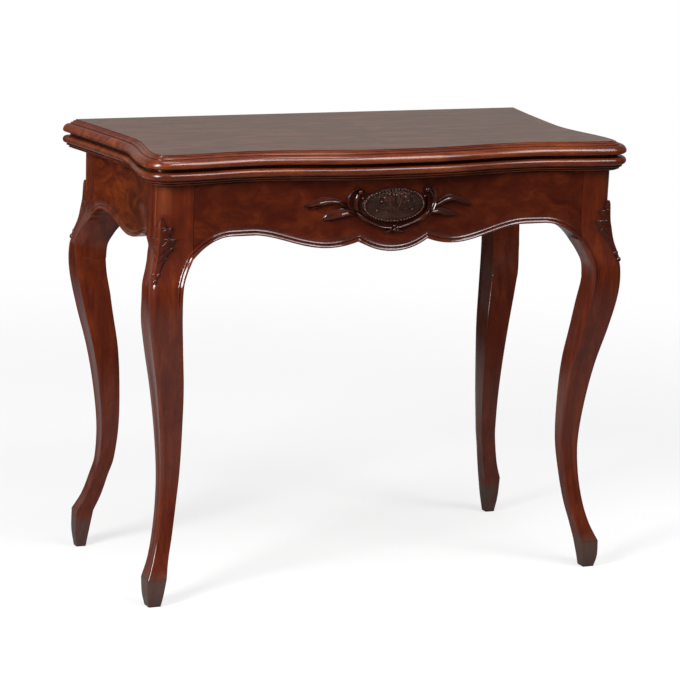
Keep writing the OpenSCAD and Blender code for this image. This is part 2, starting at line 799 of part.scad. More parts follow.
module well_divider() {
    color(PLAIN)
        difference() {
            translate([divider_x, bay_front, floor_z + floor_t])
                cube([divider_t, bay_back - bay_front, frame_h - 4 - floor_z - floor_t]);
            cleat_plan(0.2);
        }
}

module pivot_bearer() {
    color(PLAIN)
        difference() {
            translate([bearer_x0, bay_front - housing_d, bearer_z])
                cube([bearer_w, bay_back - bay_front + 2 * housing_d, bearer_t]);
            translate([pivot_x, pivot_y, bearer_z - 1])
                cylinder(r = bolt_r + bolt_fit, h = bearer_t + 2, $fn = 48);
        }
}

// pivot

plate_screw_l = 16;

module plate_screw_set(r, hr, l) {
    for (sx = [-1, 1]) {
        for (sy = [-1, 1]) {
            translate([pivot_x + sx * (plate_l / 2 - 12), pivot_y + sy * (plate_w / 2 - 12), frame_h]) {
                cylinder(r1 = hr, r2 = r, h = 1.8, $fn = 24);
                cylinder(r = r, h = l, $fn = 24);
            }
        }
    }
}

module pivot_plate_plan(z, h, grow) {
    translate([pivot_x - plate_l / 2 - grow, pivot_y - plate_w / 2 - grow, z])
        cube([plate_l + 2 * grow, plate_w + 2 * grow, h]);
}

module pivot_plate() {
    color(IRON)
        difference() {
            pivot_plate_plan(frame_h, plate_t, 0);
            plate_screw_set(screw_r + 0.05, head_r + 0.05, plate_screw_l);
            translate([pivot_x, pivot_y, frame_h - 1])
                cylinder(r = bolt_r + 0.02, h = plate_t + 2, $fn = 48);
        }
}

module pivot_plate_screws() {
    color(IRON)
        plate_screw_set(screw_r, head_r, plate_screw_l);
}

module pivot_bolt() {
    color(IRON)
        translate([pivot_x, pivot_y, bearer_z - washer_t - nut_t - 4])
            cylinder(r = bolt_r, h = frame_h + plate_t - (bearer_z - washer_t - nut_t - 4), $fn = 48);
}

module pivot_washer() {
    color(IRON)
        translate([pivot_x, pivot_y, bearer_z - washer_t])
            difference() {
                cylinder(r = bolt_r * 2.5, h = washer_t, $fn = 48);
                translate([0, 0, -1])
                    cylinder(r = bolt_r + 0.05, h = washer_t + 2, $fn = 48);
            }
}

module pivot_nut() {
    color(IRON)
        translate([pivot_x, pivot_y, bearer_z - washer_t - nut_t])
            difference() {
                cylinder(r = bolt_r * 1.9, h = nut_t, $fn = 6);
                translate([0, 0, -1])
                    cylinder(r = bolt_r + 0.02, h = nut_t + 2, $fn = 48);
            }
}

module stop_block() {
    color(PLAIN)
        difference() {
            translate([stop_x - stop_s / 2, stop_y - stop_s / 2, frame_h - stop_h])
                cube([stop_s, stop_s, stop_h]);
            translate([stop_x, stop_y, frame_h - stop_h - 1])
                cylinder(r = screw_r + 0.05, h = stop_h + 2, $fn = 24);
            translate([stop_x, stop_y, frame_h - stop_h - 1])
                cylinder(r = head_r + 0.05, h = 3.1, $fn = 24);
        }
}

module stop_screw() {
    color(IRON)
        translate([stop_x, stop_y, frame_h - stop_h]) {
            cylinder(r = head_r, h = 2, $fn = 24);
            cylinder(r = screw_r, h = stop_h + 10, $fn = 24);
        }
}

leg_front_left();
leg_front_right();
leg_back_left();
leg_back_right();
front_apron();
side_apron_left();
side_apron_right();
back_rail();
apron_carving();
corner_blocks();
floor_board();
floor_cleats();
floor_screws();
well_divider();
pivot_bearer();
pivot_plate();
pivot_plate_screws();
pivot_bolt();
pivot_washer();
pivot_nut();
stop_block();
stop_screw();
lower_leaf();
upper_leaf();
lower_cloth();
upper_cloth();
hinge_left_lower();
hinge_left_upper();
hinge_right_lower();
hinge_right_upper();
hinge_pins();
hinge_screws_lower();
hinge_screws_upper();
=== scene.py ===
# Games table: polished mahogany, serpentine moulded double top, carved apron, cabriole legs.
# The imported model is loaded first. The pieces below stand for its curved nodes with finer detail.
# Lengths are in millimetres until a mesh is made. x runs to the right, y to the back and z up,
# from the middle of the closed table's footprint on the floor.

import bpy
import math
import numpy as np
from mathutils import Matrix


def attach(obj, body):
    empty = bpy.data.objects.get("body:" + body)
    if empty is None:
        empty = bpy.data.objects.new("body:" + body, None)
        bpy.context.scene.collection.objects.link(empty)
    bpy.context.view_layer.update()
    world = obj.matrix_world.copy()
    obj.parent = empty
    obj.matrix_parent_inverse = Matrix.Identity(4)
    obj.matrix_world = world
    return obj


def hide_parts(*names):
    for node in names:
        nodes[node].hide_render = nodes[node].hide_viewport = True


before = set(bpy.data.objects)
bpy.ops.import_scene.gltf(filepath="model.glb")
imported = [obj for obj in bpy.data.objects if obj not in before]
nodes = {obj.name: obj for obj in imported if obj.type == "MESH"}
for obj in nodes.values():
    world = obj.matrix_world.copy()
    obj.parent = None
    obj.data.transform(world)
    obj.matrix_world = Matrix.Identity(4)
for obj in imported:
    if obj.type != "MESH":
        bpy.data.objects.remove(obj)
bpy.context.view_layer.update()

MM = 0.001

# sizes, the same as the construction's

# the table, and one leaf of its top
TABLE_H, TOP_W, TOP_D, LEAF_T = 750.0, 882.0, 422.0, 25.0
# outline of the top: moulding, waist of the sides, lobes of the front corners, hollows and bow of the front
MOULD_W, WAIST_IN, LOBE_OUT = 22.8, 24.5, 22.5
FRONT_HOLLOW, BOW_OUT, WAIST_FROM_BACK, FIELD_CORNER_R = 14.0, 8.2, 223.0, 17.0
# the frame under it: overhangs of the top, square posts, aprons
SIDE_OVERHANG, BACK_OVERHANG, BACK_IN = 29.0, 9.0, 4.4
POST_S, POST_ROUND = 58.0, 20.0
APRON_H, APRON_T, APRON_BOW, APRON_HOLLOW, SIDE_HOLLOW = 121.0, 22.0, 8.0, 7.0, 18.0
ARCH_RISE, LOBE_DROP, SIDE_DROP = 33.7, 26.0, 28.2
SIDE_BACKING = 20.0           # from the bay inside to a side's hollow, less the set-in of the back legs
BEAD_W, BEAD_H = 9.0, 2.6
# cabriole legs
KNEE_OUT, ANKLE_IN, KNEE_S, ANKLE_S = 17.8, 25.0, 54.0, 26.5
FOOT_S, FOOT_H, BACK_FOOT_H, FACE_HOLLOW, LEAF_RELIEF = 30.5, 46.0, 66.0, 1.2, 3.5
# swivel, hinges and playing cloth
BEARER_W, BEARER_T, BEARER_SUNK, HOUSING_D = 90.0, 24.0, 0.6, 8.0
TURNED_SHIFT = 3.0
PLATE_L, PLATE_W, PLATE_T = 110.0, 70.0, 4.0
HINGE_IN, HINGE_L, HINGE_H, HINGE_T, BARREL_R = 141.0, 60.0, 19.5, 2.0, 3.0
BORDER_SIDE, BORDER_FRONT, BORDER_BACK = 73.0, 60.0, 4.0

FRAME_H = TABLE_H - 2 * LEAF_T
JOINT_Z = TABLE_H - LEAF_T
POST_X = TOP_W / 2 - SIDE_OVERHANG
HINGE_X = TOP_W / 2 - HINGE_IN
BACK_REACH = 10.75            # how far the back knees stand behind the top
TOP_BACK = (TOP_D + BACK_REACH) / 2 - BACK_REACH
TOP_FRONT = TOP_BACK - TOP_D
POST_BACK = TOP_BACK - BACK_OVERHANG
POST_FRONT = TOP_FRONT + MOULD_W + BOW_OUT
FRAME_MID = (POST_BACK + POST_FRONT) / 2
INNER_X = POST_X - POST_S
INNER_FRONT = POST_FRONT + POST_S
INNER_BACK = POST_BACK - POST_S
BAY_FRONT = POST_FRONT + APRON_HOLLOW + APRON_T
BAY_X = POST_X - SIDE_HOLLOW - SIDE_BACKING
PIVOT_X = (TOP_BACK - TURNED_SHIFT) / 2
PIVOT_Y = (TOP_BACK + TURNED_SHIFT) / 2
SIDE_LEN = INNER_BACK - INNER_FRONT


# smooth curves

def ease(u):
    """Smooth step, 0 to 1 as u goes from 0 to 1."""
    return (1 - np.cos(np.pi * np.clip(u, 0, 1))) / 2


def rising(z, start, end):
    """Smooth step along z: 0 at start, 1 at end. start may be the higher one."""
    return ease((z - start) / (end - start))


def curve(x, xs, ys):
    """The smooth curve through the stations xs, ys, at x."""
    x, xs, ys = np.asarray(x, float), np.asarray(xs, float), np.asarray(ys, float)
    i = np.clip(np.searchsorted(xs, x, side="left") - 1, 0, len(xs) - 2)
    m = np.empty(len(xs))
    m[0] = (ys[1] - ys[0]) / (xs[1] - xs[0])
    m[-1] = (ys[-1] - ys[-2]) / (xs[-1] - xs[-2])
    m[1:-1] = (ys[2:] - ys[:-2]) / (xs[2:] - xs[:-2])
    w = xs[i + 1] - xs[i]
    t = np.clip((x - xs[i]) / w, 0, 1)
    return (ys[i] * (1 + 2 * t) * (1 - t) ** 2 + ys[i + 1] * t * t * (3 - 2 * t)
            + w * m[i] * t * (1 - t) ** 2 - w * m[i + 1] * t * t * (1 - t))


def dense(points, n):
    """n points along the smooth line through a few points, evenly in length."""
    p = np.asarray(points, float)
    k = np.arange(len(p))
    u = np.linspace(0, len(p) - 1, n * 8)
    q = np.stack([curve(u, k, p[:, j]) for j in range(p.shape[1])], 1)
    s = np.r_[0, np.cumsum(np.linalg.norm(np.diff(q[:, :2], axis=0), axis=1))]
    v = np.linspace(0, s[-1], n)
    return np.stack([np.interp(v, s, q[:, j]) for j in range(p.shape[1])], 1)


# meshes

SHARP_DEG = 32


def piece(name, verts, faces, material, body="frame", stands_for=(), sharp=SHARP_DEG,
          painted_light=None):
    """A named piece on its body. painted_light is one value a point: above 0 painted shade, below 0 painted
    highlight.
    """
    mesh = bpy.data.meshes.new(name)
    mesh.from_pydata((np.asarray(verts) * MM).tolist(), [], [list(map(int, f)) for f in faces])
    mesh.validate()
    mesh.shade_smooth()
    mesh.set_sharp_from_angle(angle=math.radians(sharp))
    mesh.materials.append(material)
    if painted_light is not None:
        layer = mesh.attributes.new("painted_light", "FLOAT", "POINT")
        layer.data.foreach_set("value", np.asarray(painted_light, np.float32))
    obj = bpy.data.objects.new(name, mesh)
    bpy.context.collection.objects.link(obj)
    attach(obj, body)
    if stands_for:
        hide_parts(*stands_for)
    return obj


def loft(rings, caps=True, closed=True):
    """Points and faces of the skin through rings of equally many points."""
    rings = np.asarray(rings, float)
    m, n = rings.shape[:2]
    last = n if closed else n - 1
    faces = [(j * n + i, j * n + (i + 1) % n, (j + 1) * n + (i + 1) % n, (j + 1) * n + i)
             for j in range(m - 1) for i in range(last)]
    if caps:
        faces += [tuple(range(n - 1, -1, -1)), tuple((m - 1) * n + i for i in range(n))]
    return rings.reshape(-1, 3), faces


def join(*parts):
    """Several (points, faces) as one."""
    verts, faces, start = [], [], 0
    for v, f in parts:
        verts.append(np.asarray(v, float))
        faces += [tuple(i + start for i in face) for face in f]
        start += len(v)
    return np.concatenate(verts), faces


def mirrored(part, x=False, y=False):
    """The part on the other side of the table: left for right with x, back for front with y."""
    v, f = np.array(part[0], float), part[1]
    if x:
        v[:, 0] *= -1
    if y:
        v[:, 1] = 2 * FRAME_MID - v[:, 1]
    return v, ([face[::-1] for face in f] if x != y else f)


def box_mesh(lo, hi):
    """Cutter for a housing or a recess."""
    x0, y0, z0 = lo
    x1, y1, z1 = hi
    v = [(x0, y0, z0), (x1, y0, z0), (x1, y1, z0), (x0, y1, z0),
         (x0, y0, z1), (x1, y0, z1), (x1, y1, z1), (x0, y1, z1)]
    f = [(3, 2, 1, 0), (4, 5, 6, 7), (0, 1, 5, 4), (1, 2, 6, 5), (2, 3, 7, 6), (3, 0, 4, 7)]
    return np.array(v, float), f


def rod_mesh(a, b, r, n=24):
    """Cutter for the hinges' barrels, from a to b."""
    a, b = np.array(a, float), np.array(b, float)
    d = (b - a) / np.linalg.norm(b - a)
    u = np.cross(d, [0, 0, 1] if abs(d[2]) < 0.9 else [1, 0, 0])
    u /= np.linalg.norm(u)
    w = np.cross(d, u)
    t = np.linspace(0, 2 * np.pi, n, endpoint=False)[:, None]
    ring = np.cos(t) * u + np.sin(t) * w
    return loft([a + r * ring, b + r * ring])


def ball_mesh(centre, radii, n=20, m=12):
    """Carved bud, berry or pearl: n points round, m steps from pole to pole."""
    t = np.linspace(0, 2 * np.pi, n, endpoint=False)
    rings = []
    for a in np.linspace(-np.pi / 2, np.pi / 2, m + 1)[1:-1]:
        rings.append(np.stack([np.cos(a) * np.cos(t), np.cos(a) * np.sin(t), np.full(n, np.sin(a))], 1))
    v, f = loft(rings, caps=False)
    k = len(v)
    v = np.concatenate([v, [[0, 0, -1], [0, 0, 1]]])
    f += [((i + 1) % n, i, k) for i in range(n)]
    f += [(k - n + i, k - n + (i + 1) % n, k + 1) for i in range(n)]
    return v * np.asarray(radii, float) + np.asarray(centre, float), f


def cut(obj, cutters):
    """Takes the cutters, given as points and faces, out of the piece."""
    material = obj.data.materials[0]
    for v, f in cutters:
        mesh = bpy.data.meshes.new("cutter")
        mesh.from_pydata((v * MM).tolist(), [], f)
        tool = bpy.data.objects.new("cutter", mesh)
        bpy.context.collection.objects.link(tool)
        mod = obj.modifiers.new("cut", "BOOLEAN")
        mod.operation, mod.solver, mod.object = "DIFFERENCE", "MANIFOLD", tool
        graph = bpy.context.evaluated_depsgraph_get()
        done = bpy.data.meshes.new_from_object(obj.evaluated_get(graph))
        obj.modifiers.remove(mod)
        old, obj.data = obj.data, done
        bpy.data.meshes.remove(old)
        bpy.data.objects.remove(tool)
        bpy.data.meshes.remove(mesh)
    obj.data.materials.clear()
    obj.data.materials.append(material)
    for p in obj.data.polygons:
        p.material_index = 0
    obj.data.set_sharp_from_angle(angle=math.radians(SHARP_DEG))


# materials

def rgb(code):
    """Linear colour of an sRGB hex value."""
    c = [int(code[i:i + 2], 16) / 255 for i in (1, 3, 5)]
    return tuple(v / 12.92 if v <= 0.04045 else ((v + 0.055) / 1.055) ** 2.4 for v in c) + (1.0,)


def per_metre(mm):
    """Scale of a pattern whose marks are that many millimetres apart."""
    return 1000 / mm


def add(tree, kind, links=None, stops=(), **settings):
    """A node of that kind, with its settings, its input values and links, and a colour ramp's stops."""
    node = tree.nodes.new("ShaderNode" + kind)
    for key, value in settings.items():
        setattr(node, key, value)
    for key, value in (links or {}).items():
        if isinstance(value, bpy.types.NodeSocket):
            tree.links.new(value, node.inputs[key])
        else:
            node.inputs[key].default_value = value
    if stops:
        marks = node.color_ramp.elements
        while len(marks) < len(stops):
            marks.new(0.5)
        for mark, (place, colour) in zip(marks, stops):
            mark.position, mark.color = place, colour
    return node


MIX_A, MIX_B, MIXED = 6, 7, 2     # a Mix node's sockets for colours


def new_material(name, **values):
    """A material with values on its shader's own sockets, their names written with underscores."""
    mat = bpy.data.materials.new(name)
    mat.use_nodes = True
    tree = mat.node_tree
    bsdf = tree.nodes["Principled BSDF"]
    for key, value in values.items():
        bsdf.inputs[key.replace("_", " ")].default_value = value
    return mat, tree, bsdf


# The wood's marks: mm across the grain, mm along it, and the noise's detail, roughness and distortion.
# Real pores are about 0.3 mm wide, too fine for the render, so they are drawn wider.
MARKS = {
    "streaks": (13.33, 166.7, 5.0, 0.62, 0.4),
    "clouds": (33.33, 58.82, 4.0, 0.6, 1.2),
    "pores": (1.111, 18.18, 2.0, 0.5, 0.0),
    "rubbing": (6.25, 40.0, 5.0, 0.7, 0.0),
}
SWELL_MM = 14.29              # gentle unevenness of a hand-planed, hand-polished surface
PUNCH_MM = 1.429              # from dot to dot of a matting punch
ACROSS_X, ACROSS_Y, UPRIGHT = 0, 1, 2     # which way the grain runs
# painted shade with some grime in the crevices, a painted highlight, and the bare wood of the feet
SHADE_AND_GRIME, PAINTED_HIGHLIGHT, BARE = "#0d0504", "#96512c", "#473731"
WORN_FROM, WORN_FULL = 60.0, 42.0         # height where the scuffs begin, and below which they are full
SHADE_REACH_MM = 7.0                 # reach of the occlusion that paints shade into a crevice
NOISE_HALF = 0.17             # most of a noise's values lie within this of 0.5
PORE_TINT, PORE_SHARE, PORE_RELIEF = "#aaa0a0", 0.3, 0.12
SWELL_DEPTH_MM, PUNCH_DEPTH_MM = 0.6, 0.8


def wood(name, dark, mid, light, grain, figure=0.35, rough=0.5, polish=1.0, worn_foot=False, seed=0.0,
         spread=1.0, punched=False, gloss=0.11):
    """Mahogany, planed, scraped and finished with rubbed shellac. Streaks and pores run along the grain and
    a cloudy figure lies over them. The polish is a thin clear coat, so the colour looks deep and takes soft
    reflections. Crevices get painted shade with some grime, and a per-point value adds painted shade or
    painted highlights."""
    mat, tree, bsdf = new_material(name, Roughness=rough, IOR=1.5, Specular_IOR_Level=0.05,
                                   Coat_Weight=polish, Coat_Roughness=gloss, Coat_IOR=1.5)
    place = add(tree, "TexCoord").outputs["Object"]
    noise = {}
    for mark in ("streaks", "clouds", "pores") + ("rubbing",) * worn_foot:
        across, along, detail, coarse, warp = MARKS[mark]
        scale = [per_metre(across)] * 3
        scale[grain] = per_metre(along)
        spot = add(tree, "Mapping", {"Vector": place, "Location": (seed, seed * 0.7, seed * 1.3),
                                     "Scale": scale})
        noise[mark] = add(tree, "TexNoise", {"Vector": spot.outputs[0], "Scale": 1.0, "Detail": detail,
                                             "Roughness": coarse, "Distortion": warp}).outputs["Fac"]
    both = add(tree, "Mix", {"Factor": figure, "A": noise["streaks"], "B": noise["clouds"]}).outputs[0]
    half = NOISE_HALF * spread
    colour = add(tree, "ValToRGB", {"Fac": both}, [(0.5 - half, rgb(dark)), (0.5, rgb(mid)),
                                                  (0.5 + half, rgb(light))]).outputs["Color"]
    fine = add(tree, "ValToRGB", {"Fac": noise["pores"]}, [(0.30, rgb(PORE_TINT)), (0.46, rgb("#ffffff"))])
    colour = add(tree, "Mix", {"Factor": PORE_SHARE, MIX_A: colour, MIX_B: fine.outputs["Color"]},
                 data_type="RGBA", blend_type="MULTIPLY").outputs[MIXED]
    if worn_foot:
        # scuffed feet: the polish and its colour are gone in patches, and grey-brown wood shows
        height = add(tree, "SeparateXYZ", {"Vector": place}).outputs["Z"]
        low = add(tree, "MapRange", {"Value": height, "From Min": WORN_FROM * MM, "From Max": WORN_FULL * MM})
        rub = add(tree, "MapRange", {"Value": noise["rubbing"], "From Min": 0.22, "From Max": 0.55,
                                     "To Max": 0.95})
        worn = add(tree, "Math", {0: low.outputs["Result"], 1: rub.outputs["Result"]}, operation="MULTIPLY")
        colour = add(tree, "Mix", {"Factor": worn.outputs[0], MIX_A: colour, MIX_B: rgb(BARE)},
                     data_type="RGBA").outputs[MIXED]
    # the points of the legs and of the carving carry painted light: a painted highlight below 0, painted
    # shade above
    painted_light = add(tree, "Attribute", attribute_name="painted_light", attribute_type="GEOMETRY").outputs["Fac"]
    highlight_share = add(tree, "Math", {0: painted_light, 1: -1.0}, operation="MULTIPLY", use_clamp=True).outputs[0]
    colour = add(tree, "Mix", {"Factor": highlight_share, MIX_A: colour, MIX_B: rgb(PAINTED_HIGHLIGHT)},
                 data_type="RGBA").outputs[MIXED]
    # painted shade, with some grime, darkens the crevices of the carving and the quirks of the mouldings
    # where they are occluded
    occlusion = add(tree, "AmbientOcclusion", {"Distance": SHADE_REACH_MM * MM}, samples=6).outputs["AO"]
    unoccluded = add(tree, "MapRange", {"Value": occlusion, "From Min": 0.25, "From Max": 0.8, "To Min": 0.1})
    unshaded = add(tree, "Math", {0: 1.0, 1: painted_light}, operation="SUBTRACT", use_clamp=True)
    lit_share = add(tree, "Math", {0: unoccluded.outputs["Result"], 1: unshaded.outputs[0]}, operation="MULTIPLY")
    colour = add(tree, "Mix", {"Factor": lit_share.outputs[0], MIX_A: rgb(SHADE_AND_GRIME), MIX_B: colour},
                 data_type="RGBA").outputs[MIXED]
    tree.links.new(colour, bsdf.inputs["Base Color"])
    swell = add(tree, "TexNoise", {"Vector": place, "Scale": per_metre(SWELL_MM), "Detail": 2.0,
                                   "Roughness": 0.5}).outputs["Fac"]
    relief = add(tree, "Math", {0: noise["pores"], 1: PORE_RELIEF, 2: swell},
                 operation="MULTIPLY_ADD").outputs[0]
    bump = add(tree, "Bump", {"Height": relief, "Strength": 0.3, "Distance": SWELL_DEPTH_MM * MM})
    if punched:
        dots = add(tree, "TexVoronoi", {"Vector": place, "Scale": per_metre(PUNCH_MM)}).outputs["Distance"]
        bump = add(tree, "Bump", {"Height": dots, "Strength": 0.9, "Distance": PUNCH_DEPTH_MM * MM,
                                  "Normal": bump.outputs["Normal"]})
    tree.links.new(bump.outputs["Normal"], bsdf.inputs["Normal"])
    tree.links.new(bump.outputs["Normal"], bsdf.inputs["Coat Normal"])
    return mat


# solid mahogany of the legs: upright grain, and feet scuffed bare
LEG_WOOD = wood("mahogany_leg", "#3f1308", "#541d0b", "#6a2b0e", UPRIGHT, worn_foot=True, seed=3.0,
                spread=1.2, gloss=0.17)
# figured veneers: mottled rather than striped
APRON_WOOD = wood("mahogany_veneer_front", "#380f06", "#471708", "#5c240d", ACROSS_X, figure=0.8, seed=11.0,
                  spread=1.15)
SIDE_WOOD = wood("mahogany_veneer_side", "#3c1208", "#511e09", "#6d2e0c", ACROSS_Y, figure=0.8, seed=18.3)
# the back is turned to the wall: a thinner polish that shines less
BACK_WOOD = wood("mahogany_back_rail", "#38130b", "#4d1d0e", "#663015", ACROSS_X, polish=0.3, seed=23.0)
# the flat of the top is faded browner by daylight than its moulded edge
TOP_WOOD = wood("mahogany_top", "#35190b", "#553019", "#734428", ACROSS_X, figure=0.4, seed=29.0)
EDGE_WOOD = wood("mahogany_edge", "#411505", "#5f2208", "#7e3b11", ACROSS_X, figure=0.3, seed=31.0,
                 gloss=0.22)
# the carving's wood is darker than the apron's, and the ground of its oval is matted with a punch
CARVED_WOOD = wood("mahogany_carved", "#240a05", "#3a1308", "#52240f", ACROSS_X, figure=0.5, seed=37.0,
                   gloss=0.08)
GROUND_WOOD = wood("mahogany_punched_ground", "#1d0f0a", "#321d14", "#4a3024", ACROSS_X, figure=0.8,
                   polish=0.6, seed=43.0, punched=True)
# inside work, planed and left without polish: pale and matt
PLAIN_WOOD = wood("plain_hardwood", "#7b5630", "#987344", "#ad8656", ACROSS_X, rough=0.62, polish=0.0,
                  seed=41.0)

TARNISH_MM = 6.25             # size of the spots of tarnish


def metal(name, bright, tarnished, rough):
    """Old rolled brass or forged steel: rubbed bright, duller and darker where it is tarnished in spots."""
    mat, tree, bsdf = new_material(name, Metallic=1.0, Roughness=rough)
    place = add(tree, "TexCoord").outputs["Object"]
    spots = add(tree, "TexNoise", {"Vector": place, "Scale": per_metre(TARNISH_MM), "Detail": 4.0,
                                   "Roughness": 0.65}).outputs["Fac"]
    colour = add(tree, "ValToRGB", {"Fac": spots}, [(0.38, rgb(tarnished)), (0.6, rgb(bright))])
    dull = add(tree, "MapRange", {"Value": spots, "To Min": rough + 0.15, "To Max": rough - 0.08})
    tree.links.new(colour.outputs["Color"], bsdf.inputs["Base Color"])
    tree.links.new(dull.outputs["Result"], bsdf.inputs["Roughness"])
    return mat


# hinges: warm and half bright
BRASS = metal("aged_brass", "#b8923f", "#7d5f27", 0.32)
# screws and the pivot: grey, browned by age
STEEL = metal("dark_steel", "#77767a", "#4a4643", 0.42)

# real fibres are about 0.03 mm thick; the fuzz is drawn coarser, so that it shows
FUZZ_MM, FADED_MM, FUZZ_DEPTH_MM = 0.7143, 71.43, 0.4


def baize(name, colour, deep):
    """Felted and sheared woollen cloth: matt, with a soft sheen and a fine, even fuzz, faded in patches."""
    mat, tree, bsdf = new_material(name, Roughness=0.95, Sheen_Weight=0.25, Sheen_Roughness=0.5)
    place = add(tree, "TexCoord").outputs["Object"]
    fuzz = add(tree, "TexNoise", {"Vector": place, "Scale": per_metre(FUZZ_MM), "Detail": 3.0,
                                  "Roughness": 0.7}).outputs["Fac"]
    faded = add(tree, "TexNoise", {"Vector": place, "Scale": per_metre(FADED_MM),
                                   "Detail": 3.0}).outputs["Fac"]
    tone = add(tree, "Mix", {"Factor": 0.2, "A": fuzz, "B": faded}).outputs[0]
    shade = add(tree, "ValToRGB", {"Fac": tone}, [(0.36, rgb(deep)), (0.64, rgb(colour))])
    bump = add(tree, "Bump", {"Height": fuzz, "Strength": 0.5, "Distance": FUZZ_DEPTH_MM * MM})
    tree.links.new(shade.outputs["Color"], bsdf.inputs["Base Color"])
    tree.links.new(bump.outputs["Normal"], bsdf.inputs["Normal"])
    return mat


BAIZE = baize("green_baize", "#2a5f3e", "#1a422c")

# leaves

# the sides run aslant at the back corners, so the moulding reaches that many times its width in x there
BACK_CORNER = 1.013
FIELD_BACK_X = TOP_W / 2 - MOULD_W * BACK_CORNER
WAIST_Y = TOP_BACK - WAIST_FROM_BACK
WAIST_X = FIELD_BACK_X - WAIST_IN
LOBE_X = WAIST_X + LOBE_OUT
CORNER_X = LOBE_X - FIELD_CORNER_R
CORNER_Y = POST_FRONT + FIELD_CORNER_R
HOLLOW_Y = POST_FRONT + FRONT_HOLLOW
BOW_Y = POST_FRONT - BOW_OUT
# as shares of the half width: where the hollow is deepest, its flat bottom, and the runs out to the corner
# and in to the bow
HOLLOW_U, HOLLOW_FLAT, CORNER_RUN, BOW_RUN = 0.63, 0.015, 0.36, 0.52


def field_side(y):
    """Half width of the flat field at y: widest at the back, drawn in at the waist, out again to the lobe."""
    behind = WAIST_X + WAIST_IN * np.maximum((y - WAIST_Y) / (TOP_BACK - WAIST_Y), 0) ** 1.3
    ahead = WAIST_X + LOBE_OUT * ease((WAIST_Y - y) / (WAIST_Y - CORNER_Y))
    return np.where(y > WAIST_Y, behind, ahead)


def field_front(x):
    """Front of the flat field: bowed in the middle, hollow beside it, out again to the corners."""
    u = x / CORNER_X
    outer = HOLLOW_Y + (POST_FRONT - HOLLOW_Y) * ease((u - HOLLOW_U) / CORNER_RUN)
    inner = HOLLOW_Y + (BOW_Y - HOLLOW_Y) * ease((HOLLOW_U - HOLLOW_FLAT - u) / BOW_RUN)
    return np.where(u > HOLLOW_U, outer, inner)


def field_half(front_n=110, corner_n=18, side_n=90):
    """Right half of the field's outline, from the middle of the front to the back corner."""
    x = CORNER_X * np.arange(front_n) / front_n
    a = np.pi / 2 * np.arange(corner_n) / corner_n
    y = np.linspace(CORNER_Y, TOP_BACK, side_n + 1)
    corner = np.stack([CORNER_X + FIELD_CORNER_R * np.sin(a), CORNER_Y - FIELD_CORNER_R * np.cos(a)], 1)
    return np.concatenate([np.stack([x, field_front(x)], 1), corner, np.stack([field_side(y), y], 1)])


HALF = field_half()
tangent = np.gradient(HALF, axis=0)
tangent[0] = (1, 0)
tangent /= np.linalg.norm(tangent, axis=1)[:, None]
OUT = np.stack([tangent[:, 1], -tangent[:, 0]], 1)


def leaf_ring(e, z):
    """Outline e outside the flat field at height z, from the middle of the back edge."""
    p = HALF + e * OUT
    p[:, 1] = np.minimum(p[:, 1], TOP_BACK - 0.2)
    p[-1] = (HALF[-1, 0] + e * BACK_CORNER, TOP_BACK)
    p[0, 0] = 0
    right = np.c_[p, np.full(len(p), z)]
    left = right[:0:-1] * (-1, 1, 1)
    return np.concatenate([[[0, TOP_BACK, z]], left, right])


def section(parts):
    """Edge section made of straight and smooth runs: (points, how many)."""
    out = []
    for points, n in parts:
        q = dense(points, n) if n else np.asarray(points, float)
        out.append(q if not out else q[1:])
    return np.concatenate(out)


# edge sections as (distance outside the field, depth): two fillets and a bold round on the upper leaf, a
# flatter round with two small steps under it on the lower one
UPPER_EDGE = section([
    ([(0, 0), (0.15, 1.5), (0.9, 1.7)], 0),
    ([(0.9, 1.7), (2.4, 1.6), (4.2, 1.9)], 6),
    ([(4.2, 1.9), (4.4, 3.4), (5.2, 3.9)], 0),
    ([(5.2, 3.9), (7.4, 3.9), (9.4, 5.4)], 6),
    ([(9.4, 5.4), (9.6, 7.2), (10.5, 7.4)], 0),
    ([(10.5, 7.4), (13.0, 6.6), (16.0, 7.2), (19.0, 9.2), (21.4, 12.2), (22.6, 15.2), (22.5, 17.6),
      (21.0, 19.8), (18.4, 21.2), (15.6, 21.8), (12.6, 22.4)], 28),
    ([(12.6, 22.4), (9.5, 23.2), (9.2, 25)], 0)])
LOWER_EDGE = section([
    ([(9.2, 0), (9.6, 0.9), (13.0, 1.3)], 0),
    ([(13.0, 1.3), (16.4, 1.5), (19.6, 2.7), (21.9, 5.0), (22.8, 7.8), (22.3, 10.6), (20.6, 13.0),
      (18.0, 14.6)], 20),
    ([(18.0, 14.6), (15.2, 14.8), (15.0, 16.2)], 0),
    ([(15.0, 16.2), (16.2, 16.6), (16.4, 17.6), (15.4, 18.5), (13.6, 18.9)], 8),
    ([(13.6, 18.9), (10.8, 19.0), (10.6, 20.4)], 0),
    ([(10.6, 20.4), (11.8, 20.8), (11.8, 22.0), (10.4, 22.8)], 6),
    ([(10.4, 22.8), (7.2, 23.0), (7.0, 24.2), (4.5, 25)], 0)])


def leaf(name, edge, z_top, material, body):
    """One leaf of the top, lofted from its edge's section."""
    rings = [leaf_ring(e, z_top - d) for e, d in edge[::-1]]
    v, f = loft(rings)
    return piece(name, v, f, material, body, (name.replace("_polished", ""),))


